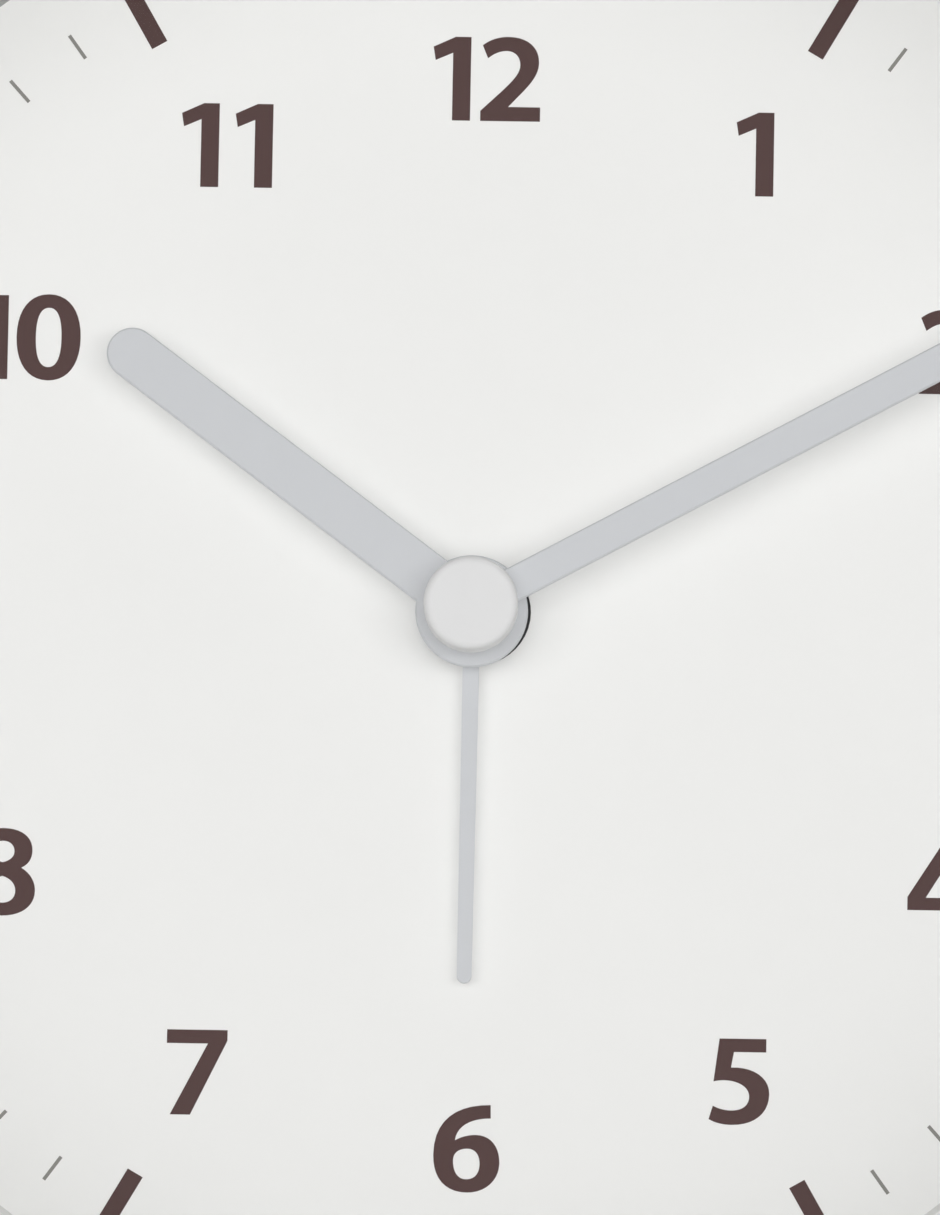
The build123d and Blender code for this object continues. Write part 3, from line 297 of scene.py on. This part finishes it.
# One finish for each material slot
finishes = {
    # Injection moulded with a satin grain: an even white with soft, broad highlights
    "case_abs": moulded("white satin ABS", "#DCDCD9", 0.42),
    # Moulded dull: no highlight, so the wall only shades from light to dark. The ring is white, and its grey is
    # painted shade that darkens the whole wall
    "ring_abs": moulded("white matt ABS in painted shade", "#A5A5A3", 0.6),
    # Polished flat: hardly seen from the front. Its index is set below that of bare glass, as the photograph
    # shows no reflection
    "lens_glass": clear_glass("clear float glass", 1.3),
    # Sprayed on sheet: a flat, slightly warm white without gloss
    "dial_lacquer": moulded("white matt lacquer", "#F1F1EF", 0.75, grain=0.5, depth=0.01),
    # Sprayed on stamped aluminium: a cool pale grey with a dull sheen
    "hand_lacquer": moulded("pale grey lacquer", "#CACCCF", 0.55, grain=0.5, depth=0.01),
    # Moulded and left matt: warmer and lighter than the hands below it
    "cap_abs": moulded("off-white matt ABS", "#E1E1E1", 0.6),
    # Moulded in grey: the satin of the case a step darker, so that the controls stand out
    "control_abs": moulded("light grey satin ABS", "#BFC0C1", 0.4),
    # Moulded rubber: dark and dull, with a coarse mottle
    "sole_rubber": moulded("dark grey rubber", "#3A3A3B", 0.85, grain=0.8, depth=0.08, mottle=0.15),
    # Zinc plate: bright cool grey with small cloudy patches
    "screw_steel": metal("zinc-plated steel", "#9C9EA0", "#C6C8CA", 0.32, 0.6),
    # Moulded in black: only the soft highlights show its form
    "movement_abs": moulded("black moulded ABS", "#2B2B2D", 0.5),
    # Moulded without dye: a milky, faintly yellow white with a waxy sheen
    "gear_acetal": moulded("natural acetal", "#EBE8DC", 0.35, grain=0.2, depth=0.01),
    # Turned on a lathe: warm yellow with fine rings that draw the highlight out
    "arbor_brass": metal("turned brass", "#B4904A", "#DDBE78", 0.25, 0.3, (1, 12, 1)),
    # Punched from rolled sheet and left bare: dull grey, streaked along the rolling
    "stator_iron": metal("punched iron sheet", "#7E7F82", "#A6A7A9", 0.42, 0.5, (0.1, 1, 1)),
    # Wound wire under clear enamel: rows of orange-brown ridges, with painted shade between them and a painted
    # highlight on each crest
    "coil_copper": wound_wire("enamelled copper wire", "#8A4520", "#D98A55", 0.18),
    # Pressed and fired powder: charcoal with small lighter grains and no shine
    "magnet_ferrite": speckled("sintered ferrite", "#34353A", "#4A4B50", 0.6, 0.3, 0.4),
    # Green mask over glass cloth: glossy, with a faint grid
    "board_laminate": masked_board("green masked laminate", "#1F4A2C", "#2E6A3E", 0.6),
    # Cured drop of filled epoxy: black with fine specks and a smooth shine
    "chip_epoxy": speckled("potting epoxy", "#141414", "#232323", 0.35, 0.4, 0.35),
    # Drawn can: bright, with streaks along its length
    "crystal_can": metal("drawn nickel silver", "#A9AAAC", "#D0D1D3", 0.22, 0.3, (0.1, 1, 1)),
    # Rolled sheet: pale yellow with straight streaks
    "buzzer_brass": metal("rolled brass sheet", "#B7975A", "#DCC185", 0.3, 0.4, (0.08, 1, 1)),
    # Fired disc with a burnt-in silver film: chalky white with a dull sparkle
    "buzzer_ceramic": speckled("silvered ceramic", "#C9C7C0", "#E0DED8", 0.45, 0.5, 0.5),
    # Film shrunk on a steel can: smooth dark grey with bare bright ends
    "cell_jacket": cell_jacket("plain cell jacket", "#4A4E54", "#B9BABC", 1.4),
    # Plated spring strip: warm grey, streaked along the rolling
    "contact_nickel": metal("nickel-plated steel strip", "#A8A69F", "#D2D0C8", 0.28, 0.4, (0.1, 1, 1)),
    # Extruded insulation: smooth, with a slight gloss
    "lead_red": moulded("red PVC lead", "#9C1F1B", 0.38, grain=0.25, depth=0.01, mottle=0.08),
    "lead_black": moulded("black PVC lead", "#232324", 0.38, grain=0.25, depth=0.01, mottle=0.08),
}
# Pad-printed ink: a flat brown that is nearly black, a little uneven. On the fine ticks it lies thinner, as a
# mid grey
ink = moulded("dark brown dial ink", "#442926", 0.6, grain=0.2, depth=0.005, mottle=0.08)
pale_ink = moulded("grey dial ink", "#86847F", 0.6, grain=0.2, depth=0.005, mottle=0.08)

# Digit outlines, in hundredths of the digit height. Two numbers are a straight step to a point, and six are a
# curved step with its two handles
digits = {
    "0": (
        [(76.6, 50.5), (76.6, 83, 62, 101.8, 38.9, 101.8), (15.8, 101.8, 1.2, 83, 1.2, 50.5),
         (1.2, 18, 15.8, -0.8, 38.9, -0.8), (62, -0.8, 76.6, 18, 76.6, 50.5)],
        [(54.1, 50.3), (54.1, 72, 49.8, 85.8, 38.9, 85.8), (28, 85.8, 23.8, 72, 23.8, 50.3),
         (23.8, 29, 28, 15, 38.9, 15), (49.8, 15, 54.1, 29, 54.1, 50.3)],
    ),
    "1": (
        [(23.1, 0), (44.3, 0), (44.3, 100), (26, 100), (0, 88), (2.6, 72), (23.1, 81)],
    ),
    "2": (
        [(1.8, 0), (1.8, 12), (26, 35), (38, 47, 47.9, 56.5, 47.9, 67), (47.9, 77.5, 41.5, 84, 31.5, 84),
         (24, 84, 16.5, 80.5, 9.8, 75), (3.4, 90.5), (11, 96.5, 21, 100.8, 34, 100.8),
         (56, 100.8, 70, 89, 70, 70.5), (70, 57, 62, 46, 45.5, 29), (34.4, 17), (72.2, 17), (72.2, 0)],
    ),
    "3": (
        [(17.5, 44.3), (28, 44.3), (39.5, 44.3, 46.5, 38.5, 46.5, 29.5), (46.5, 20.5, 39.5, 15.4, 28, 15.4),
         (20, 15.4, 12.5, 17.8, 6.8, 21.3), (1.5, 6), (8, 1.5, 17.5, -1.4, 29, -1.4),
         (54, -1.4, 70.5, 10.5, 70.5, 29), (70.5, 41.5, 62, 50.5, 50.5, 52.8),
         (60.5, 56, 66.5, 65, 66.5, 75.5), (66.5, 91, 54.5, 101.5, 35, 101.5),
         (23.5, 101.5, 13, 98, 6, 92.5), (10.8, 78), (16.5, 82.5, 23.5, 85.2, 30, 85.2),
         (38.5, 85.2, 43.2, 80.5, 43.2, 73), (43.2, 65, 36.5, 59.8, 27, 59.8), (17.5, 59.8)],
    ),
    "4": (
        [(46, 0), (67, 0), (67, 22.9), (79, 22.9), (79, 37.6), (67, 37.6), (67, 100), (39.5, 100),
         (0.5, 38.5), (0.5, 22.9), (46, 22.9)],
        [(21.8, 37.6), (46, 37.6), (46, 77)],
    ),
    "5": (
        [(12.5, 100), (67.2, 100), (67.2, 84.4), (29.6, 84.4), (26.3, 66), (52, 67.5, 71.6, 55, 71.6, 35.5),
         (71.6, 12, 54, -1.4, 28, -1.4), (16.5, -1.4, 7.5, 1.2, 1.2, 5), (5.9, 20.8),
         (12, 17.4, 20, 15.4, 27.5, 15.4), (40, 15.4, 48.2, 21.5, 48.2, 32), (48.2, 44, 34, 51, 18.5, 51),
         (14, 51, 10, 50.4, 6.2, 49.4)],
    ),
    "6": (
        [(66.9, 86.3), (66.6, 102), (27, 102, 0.6, 84, 0.6, 43), (0.6, 15, 15, -1.2, 40.5, -1.2),
         (62, -1.2, 78, 13.5, 78, 34), (78, 53.5, 67, 66.6, 50, 66.6), (40.5, 66.6, 32, 63.8, 25.6, 60),
         (27, 76, 43, 86.3, 66.9, 86.3)],
        [(39.3, 14.3), (49, 14.3, 54.9, 21, 54.9, 32.2), (54.9, 43.5, 49.5, 50.4, 40.3, 50.4),
         (30.5, 50.4, 23.8, 45.5, 23.8, 36.5), (23.8, 23, 29.5, 14.3, 39.3, 14.3)],
    ),
    "7": (
        [(5.3, 0), (28.9, 0), (71, 87.5), (71, 100), (0.3, 100), (0.3, 84), (48.3, 84)],
    ),
    "8": (
        [(38.5, -1.3), (61.5, -1.3, 77, 10, 77, 28.5), (77, 40.5, 69.5, 50.5, 60.2, 55.5),
         (70, 60, 73, 67.5, 73, 76.5), (73, 92, 60, 102, 38.5, 102), (17, 102, 4, 92, 4, 76.5),
         (4, 67.5, 7, 60, 16.8, 55.5), (7.5, 50.5, 0, 40.5, 0, 28.5), (0, 10, 15.5, -1.3, 38.5, -1.3)],
        [(38.5, 61.6), (47, 63.5, 52, 68.5, 52, 74.5), (52, 82, 46.5, 87, 38.5, 87),
         (30.5, 87, 25, 82, 25, 74.5), (25, 68.5, 30, 63.5, 38.5, 61.6)],
        [(38.5, 13.8), (48, 13.8, 53.9, 19.5, 53.9, 28), (53.9, 36, 48.5, 42.5, 38.5, 45.5),
         (28.5, 42.5, 23.1, 36, 23.1, 28), (23.1, 19.5, 29, 13.8, 38.5, 13.8)],
    ),
}
# The nine is the six turned half round in a box of this width and height
nine_box = (78.6, 100.8)
digits["9"] = tuple(
    [tuple(nine_box[place % 2] - value for place, value in enumerate(step)) for step in outline]
    for outline in digits["6"]
)
# Space between the two digits of a numeral
pair_gap = {"10": 10.0, "11": 19.0, "12": 12.0}


def trace(curve, outline, shift, unit):
    """Adds one closed outline to a flat curve."""
    spline = curve.splines.new("BEZIER")
    spline.bezier_points.add(len(outline) - 1)
    spline.use_cyclic_u = True
    spline.resolution_u = curve_steps
    spots = [shift + unit * Vector((*step[-2:], 0)) for step in outline]
    for number, step in enumerate(outline):
        start, end = spots[number - 1], spots[number]
        leave, arrive = start.lerp(end, 1 / 3), start.lerp(end, 2 / 3)
        if len(step) == 6:
            leave = shift + unit * Vector((*step[0:2], 0))
            arrive = shift + unit * Vector((*step[2:4], 0))
        spline.bezier_points[number].co = end
        spline.bezier_points[number].handle_left = arrive
        spline.bezier_points[number - 1].handle_right = leave


def finished(shape):
    """Mesh that an object's curve or node tree makes. The object itself goes."""
    bpy.context.scene.collection.objects.link(shape)
    bpy.context.view_layer.update()
    mesh = bpy.data.meshes.new_from_object(shape.evaluated_get(bpy.context.evaluated_depsgraph_get()))
    bpy.data.objects.remove(shape)
    return mesh


def grown(tree, start, sizes):
    """Mesh that a node tree makes from a start mesh, with each named input set before the tree first runs."""
    shape = bpy.data.objects.new(start.name, start)
    modifier = shape.modifiers.new(tree.name, "NODES")
    modifier.node_group = tree
    for item in tree.interface.items_tree:
        if item.name in sizes:
            modifier[item.identifier] = sizes[item.name]
    return finished(shape)


def digit_edges(digit):
    """Left and right edges of a digit."""
    places = [step[-2] for outline in digits[digit] for step in outline]
    return min(places), max(places)


def printed(name, mesh):
    """Lays a flat printed mesh, in millimetres about the dial's middle, on the dial."""
    place = Matrix.Translation((*print_shift, 0)) @ Matrix.Rotation(radians(print_turn), 4, "Z")
    mesh.transform(head @ Matrix.Scale(mm, 4) @ place)
    piece = bpy.data.objects.new(name, mesh)
    bpy.context.scene.collection.objects.link(piece)
    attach(piece, "case")


def numerals():
    """The twelve hour numerals, upright."""
    curve = bpy.data.curves.new("numerals", "CURVE")
    curve.dimensions = "2D"
    curve.fill_mode = "BOTH"
    curve.extrude = ink_thickness / 2
    unit = digit_height / 100
    for hour in range(1, hours + 1):
        text = str(hour)
        gap = pair_gap.get(text, 0)
        edges = [digit_edges(digit) for digit in text]
        reach = sum(high - low for low, high in edges) + gap * (len(text) - 1)
        circle, bearing = numeral_places.get(hour, (numeral_circle, 360 / hours * hour))
        middle = Matrix.Rotation(-radians(bearing), 3, "Z") @ Vector((0, circle, ink_thickness / 2))
        left = -reach / 2
        for digit, (low, high) in zip(text, edges):
            for outline in digits[digit]:
                trace(curve, outline, middle + unit * Vector((left - low, -50, 0)), unit)
            left += high - low + gap
    mesh = finished(bpy.data.objects.new("numerals", curve))
    mesh.materials.clear()
    mesh.materials.append(ink)
    printed("dial_numerals", mesh)


def mark_tree():
    """Geometry nodes for a ring of printed marks: bars round the dial, numbered from one, with those left out
    whose number is a multiple of one of the inputs."""
    tree = bpy.data.node_groups.new("ring of printed marks", "GeometryNodeTree")
    for name, kind in (
        ("Count", "NodeSocketInt"),
        ("Inner Radius", "NodeSocketFloat"),
        ("Outer Radius", "NodeSocketFloat"),
        ("Width", "NodeSocketFloat"),
        ("Thickness", "NodeSocketFloat"),
        ("Left Out", "NodeSocketInt"),
        ("Ink", "NodeSocketMaterial"),
    ):
        tree.interface.new_socket(name, in_out="INPUT", socket_type=kind)
    tree.interface.new_socket("Marks", in_out="OUTPUT", socket_type="NodeSocketGeometry")
    given = add(tree, "NodeGroupInput").outputs
    index = add(tree, "GeometryNodeInputIndex").outputs["Index"]
    number = add(tree, "ShaderNodeMath", {0: index, 1: 1.0}, operation="ADD").outputs[0]
    length = add(tree, "ShaderNodeMath", {0: given["Outer Radius"], 1: given["Inner Radius"]},
                 operation="SUBTRACT")
    half = add(tree, "ShaderNodeMath", {0: length.outputs[0], 1: 0.5, 2: given["Inner Radius"]},
               operation="MULTIPLY_ADD")
    step = add(tree, "ShaderNodeMath", {0: radians(-360), 1: given["Count"]}, operation="DIVIDE")
    angle = add(tree, "ShaderNodeMath", {0: number, 1: step.outputs[0]}, operation="MULTIPLY")
    turn = add(tree, "ShaderNodeCombineXYZ", {"Z": angle.outputs[0]})
    rise = add(tree, "ShaderNodeMath", {0: given["Thickness"], 1: 0.5}, operation="MULTIPLY")
    top = add(tree, "ShaderNodeCombineXYZ", {"Y": half.outputs[0], "Z": rise.outputs[0]})
    spot = add(tree, "ShaderNodeVectorRotate", {"Vector": top.outputs[0], "Rotation": turn.outputs[0]},
               rotation_type="EULER_XYZ")
    points = add(tree, "GeometryNodePoints", {"Count": given["Count"], "Position": spot.outputs[0]})
    size = add(tree, "ShaderNodeCombineXYZ", {
        "X": given["Width"], "Y": length.outputs[0], "Z": given["Thickness"]})
    bar = add(tree, "GeometryNodeMeshCube", {"Size": size.outputs[0]})
    rest = add(tree, "ShaderNodeMath", {0: number, 1: given["Left Out"]}, operation="MODULO")
    kept = add(tree, "FunctionNodeCompare", {0: rest.outputs[0], 1: 0.5}, data_type="FLOAT",
               operation="GREATER_THAN")
    marks = add(tree, "GeometryNodeInstanceOnPoints", {
        "Points": points.outputs[0], "Selection": kept.outputs[0], "Instance": bar.outputs["Mesh"],
        "Rotation": turn.outputs[0]})
    whole = add(tree, "GeometryNodeRealizeInstances", {"Geometry": marks.outputs[0]})
    inked = add(tree, "GeometryNodeSetMaterial", {"Geometry": whole.outputs[0], "Material": given["Ink"]})
    add(tree, "NodeGroupOutput", {"Marks": inked.outputs[0]})
    return tree


def dial_marks():
    """The minute ticks, left out at the hours, and the hour bars, none of which is left out."""
    tree = mark_tree()
    rings = {
        "dial_minute_ticks": {
            "Count": minutes, "Inner Radius": tick_inner, "Outer Radius": tick_outer, "Width": tick_width,
            "Thickness": ink_thickness, "Left Out": minutes // hours, "Ink": pale_ink},
        "dial_hour_bars": {
            "Count": hours, "Inner Radius": bar_inner, "Outer Radius": bar_outer, "Width": bar_width,
            "Thickness": ink_thickness, "Left Out": hours + 1, "Ink": ink},
    }
    for name, sizes in rings.items():
        printed(name, grown(tree, bpy.data.meshes.new(name), sizes))


def screw_tree():
    """Geometry nodes for a set of screws: a tapered pan head with a cross recess, each turned its own way."""
    tree = bpy.data.node_groups.new("set of screws", "GeometryNodeTree")
    for name, kind in (
        ("Crowns", "NodeSocketGeometry"),
        ("Crown Radius", "NodeSocketFloat"),
        ("Head Radius", "NodeSocketFloat"),
        ("Head Height", "NodeSocketFloat"),
        ("Shank Radius", "NodeSocketFloat"),
        ("Length", "NodeSocketFloat"),
        ("Recess Reach", "NodeSocketFloat"),
        ("Recess Width", "NodeSocketFloat"),
        ("Recess Depth", "NodeSocketFloat"),
        ("Seed", "NodeSocketInt"),
        ("Steel", "NodeSocketMaterial"),
    ):
        tree.interface.new_socket(name, in_out="INPUT", socket_type=kind)
    tree.interface.new_socket("Screws", in_out="OUTPUT", socket_type="NodeSocketGeometry")
    given = add(tree, "NodeGroupInput").outputs
    pan = add(tree, "GeometryNodeMeshCone", {
        "Vertices": screw_sides, "Radius Bottom": given["Crown Radius"], "Radius Top": given["Head Radius"],
        "Depth": given["Head Height"]})
    buried = add(tree, "ShaderNodeMath", {0: given["Head Height"], 1: 0.5}, operation="MULTIPLY")
    below = add(tree, "ShaderNodeMath", {0: given["Length"], 1: buried.outputs[0]}, operation="SUBTRACT")
    bar = add(tree, "GeometryNodeMeshCone", {
        "Vertices": screw_sides, "Radius Bottom": given["Shank Radius"], "Radius Top": given["Shank Radius"],
        "Depth": below.outputs[0]})
    rise = add(tree, "ShaderNodeCombineXYZ", {"Z": buried.outputs[0]})
    shank = add(tree, "GeometryNodeTransform", {
        "Geometry": bar.outputs["Mesh"], "Translation": rise.outputs[0]})
    blank = add(tree, "GeometryNodeMeshBoolean", operation="UNION")
    for solid in (pan.outputs["Mesh"], shank.outputs["Geometry"]):
        tree.links.new(solid, blank.inputs["Mesh 2"])

    driven = add(tree, "GeometryNodeMeshBoolean", {"Mesh 1": blank.outputs["Mesh"]}, operation="DIFFERENCE")
    for width, height in (("Recess Reach", "Recess Width"), ("Recess Width", "Recess Reach")):
        size = add(tree, "ShaderNodeCombineXYZ", {
            "X": given[width], "Y": given[height], "Z": given["Recess Depth"]})
        slot = add(tree, "GeometryNodeMeshCube", {"Size": size.outputs[0]})
        tree.links.new(slot.outputs["Mesh"], driven.inputs["Mesh 2"])

    # A cross looks the same after a quarter turn, so no screw needs more
    angle = add(tree, "FunctionNodeRandomValue", {"Min": 0.0, "Max": radians(90), "Seed": given["Seed"]})
    turn = add(tree, "ShaderNodeCombineXYZ", {"Z": angle.outputs["Value"]})
    screws = add(tree, "GeometryNodeInstanceOnPoints", {
        "Points": given["Crowns"], "Instance": driven.outputs["Mesh"], "Rotation": turn.outputs[0]})
    whole = add(tree, "GeometryNodeRealizeInstances", {"Geometry": screws.outputs[0]})
    plated = add(tree, "GeometryNodeSetMaterial", {"Geometry": whole.outputs[0], "Material": given["Steel"]})
    add(tree, "NodeGroupOutput", {"Screws": plated.outputs[0]})
    return tree


def screw_set(tree, node, axis):
    """Screws in place of one node's plain ones, at the places and sizes that its solids have."""
    side = axis.orthogonal().normalized()
    stand = Matrix((side, axis.cross(side), axis)).transposed().to_4x4()
    spots = [stand.inverted() @ vertex.co / mm for vertex in frame["nodes"][node].data.vertices]
    sets = []
    for spot in spots:
        own = next((group for group in sets if (group[0] - spot).xy.length < screw_spacing), None)
        if own:
            own.append(spot)
        else:
            sets.append([spot])
    crowns = []
    for group in sets:
        ends = [(min(spot[way] for spot in group), max(spot[way] for spot in group)) for way in range(3)]
        crowns.append(Vector((sum(ends[0]) / 2, sum(ends[1]) / 2, ends[2][0])))
    # One node's screws are alike, so the last one gives the sizes
    reach = [((spot - crowns[-1]).xy.length, spot.z - crowns[-1].z) for spot in sets[-1]]
    length = max(height for radius, height in reach)
    head_radius = max(radius for radius, height in reach)
    shank_radius = max(radius for radius, height in reach if height > tip_share * length)
    head_height = max(height for radius, height in reach if radius > (head_radius + shank_radius) / 2)

    cloud = bpy.data.meshes.new(node)
    cloud.from_pydata(crowns, [], [])
    mesh = grown(tree, cloud, {
        "Crown Radius": head_taper * head_radius,
        "Head Radius": head_radius,
        "Head Height": head_height,
        "Shank Radius": shank_radius,
        "Length": length,
        "Recess Reach": recess_reach * head_radius,
        "Recess Width": recess_width * head_radius,
        "Recess Depth": recess_depth * head_height,
        "Seed": screw_seed,
        "Steel": finishes["screw_steel"],
    })
    mesh.transform(stand @ Matrix.Scale(mm, 4))
    piece = bpy.data.objects.new("recessed_" + node, mesh)
    bpy.context.scene.collection.objects.link(piece)
    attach(piece, "case")
    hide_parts(node)


def snooze_leaf():
    """Bowed leaf under the snooze bar, made from the spring's solid with its corners merged and its sharp edges
    kept.
    """
    strip = bmesh.new()
    strip.from_mesh(frame["nodes"]["snooze_spring"].data)
    bmesh.ops.remove_doubles(strip, verts=strip.verts, dist=merge_distance * mm)
    mesh = bpy.data.meshes.new("snooze_leaf")
    strip.to_mesh(mesh)
    strip.free()
    mesh.set_sharp_from_angle(angle=radians(crease))
    mesh.materials.clear()
    mesh.materials.append(finishes["contact_nickel"])
    piece = bpy.data.objects.new("snooze_leaf", mesh)
    bpy.context.scene.collection.objects.link(piece)
    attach(piece, "case")
    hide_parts("snooze_spring")
    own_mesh(piece)


def seen_level(tree, unseen, seen):
    """Brightness with one value for the light that falls on the object and another for what the eye sees,
    straight, in gloss or through glass."""
    path = add(tree, "ShaderNodeLightPath").outputs
    direct = add(tree, "ShaderNodeMath", {0: path["Is Camera Ray"], 1: path["Is Glossy Ray"]},
                 operation="MAXIMUM")
    either = add(tree, "ShaderNodeMath", {0: direct.outputs[0], 1: path["Is Transmission Ray"]},
                 operation="MAXIMUM")
    level = add(tree, "ShaderNodeMapRange", {"Value": either.outputs[0], "To Min": unseen, "To Max": seen})
    return level.outputs["Result"]


def left_out(name, pieces):
    """Collection of pieces that a lamp leaves out."""
    kept = bpy.data.collections.new(name)
    for piece in pieces:
        kept.objects.link(piece)
    for member in kept.collection_objects:
        member.light_linking.link_state = "EXCLUDE"
    return kept


def pale_floor():
    """Pale floor that takes the shadows and throws no light back."""
    plane = bpy.data.meshes.new("floor")
    reach = floor_size / 2
    corners = [(-reach, -reach, 0), (reach, -reach, 0), (reach, reach, 0), (-reach, reach, 0)]
    plane.from_pydata(corners, [], [(0, 1, 2, 3)])
    floor = bpy.data.objects.new("floor", plane)
    paper = moulded("pale studio paper", "#A0A09E", 0.9, grain=1.0)
    tree = paper.node_tree
    sheet = next(node for node in tree.nodes if node.type == "BSDF_PRINCIPLED")
    sheet.inputs["Emission Color"].default_value = (1, 1, 1, 1)
    tree.links.new(seen_level(tree, 0, floor_level), sheet.inputs["Emission Strength"])
    plane.materials.append(paper)
    floor.visible_diffuse = False
    floor.visible_shadow = False
    bpy.context.scene.collection.objects.link(floor)
    return floor


def backdrop():
    """Even backdrop, bright to the eye, which adds only a little light."""
    world = bpy.data.worlds.new("studio")
    world.use_nodes = True
    tree = world.node_tree
    tree.nodes.clear()
    level = seen_level(tree, ambient_level, backdrop_level)
    sky = add(tree, "ShaderNodeBackground", {"Color": (1, 1, 1, 1), "Strength": level})
    add(tree, "ShaderNodeOutputWorld", {"Surface": sky.outputs[0]})
    bpy.context.scene.world = world


def soft_lamps(floor):
    """The soft lamps round the clock, each aimed at the hub."""
    for name, (turn, rise, width, height, power, passed) in lamps.items():
        lamp = bpy.data.lights.new(name, "AREA")
        lamp.shape = "ELLIPSE"
        lamp.size = width
        lamp.size_y = height
        lamp.energy = power
        box = bpy.data.objects.new(name, lamp)
        swing = Matrix.Rotation(radians(turn), 3, "Z") @ Matrix.Rotation(radians(-rise), 3, "X")
        way = swing @ Vector((0, -1, 0))
        box.location = HUB + lamp_distance * way
        box.rotation_euler = (-way).to_track_quat("-Z", "Y").to_euler()
        box.visible_camera = False
        box.visible_glossy = not passed
        bpy.context.scene.collection.objects.link(box)
        if passed:
            nodes = [frame["nodes"][node] for node in passed]
            box.light_linking.blocker_collection = left_out("not shading " + name, nodes)
            box.light_linking.receiver_collection = left_out("not lit by " + name, [floor])


def camera():
    """Level camera in front of the clock, a little to its right and very slightly rolled."""
    lens = bpy.data.cameras.new("camera")
    lens.sensor_width = sensor
    lens.lens = view_lens
    eye = bpy.data.objects.new("camera", lens)
    aim = Matrix.Translation(head @ (mm * Vector((*view_aim, 0))))
    turn = Matrix.Rotation(radians(view_turn), 4, "Z") @ Matrix.Rotation(radians(90), 4, "X")
    roll = Matrix.Rotation(radians(view_roll), 4, "Z")
    eye.matrix_world = aim @ turn @ roll @ Matrix.Translation((0, 0, view_distance * mm))
    bpy.context.scene.collection.objects.link(eye)
    bpy.context.scene.camera = eye


# The CAD pieces take their finishes
for part in frame["record"]["subparts"]:
    node = frame["nodes"][part["node"]]
    node.data.materials.clear()
    node.data.materials.append(finishes[part["material_slot"]])

# The pieces that are made here
numerals()
dial_marks()
screws = screw_tree()
screw_set(screws, "case_screws", FRONT)
screw_set(screws, "foot_screws", UP)
screw_set(screws, "movement_screws", FRONT)
screw_set(screws, "board_screws", FRONT)
snooze_leaf()

# The studio and the view
soft_lamps(pale_floor())
backdrop()
camera()
bpy.context.scene.view_settings.view_transform = "Standard"
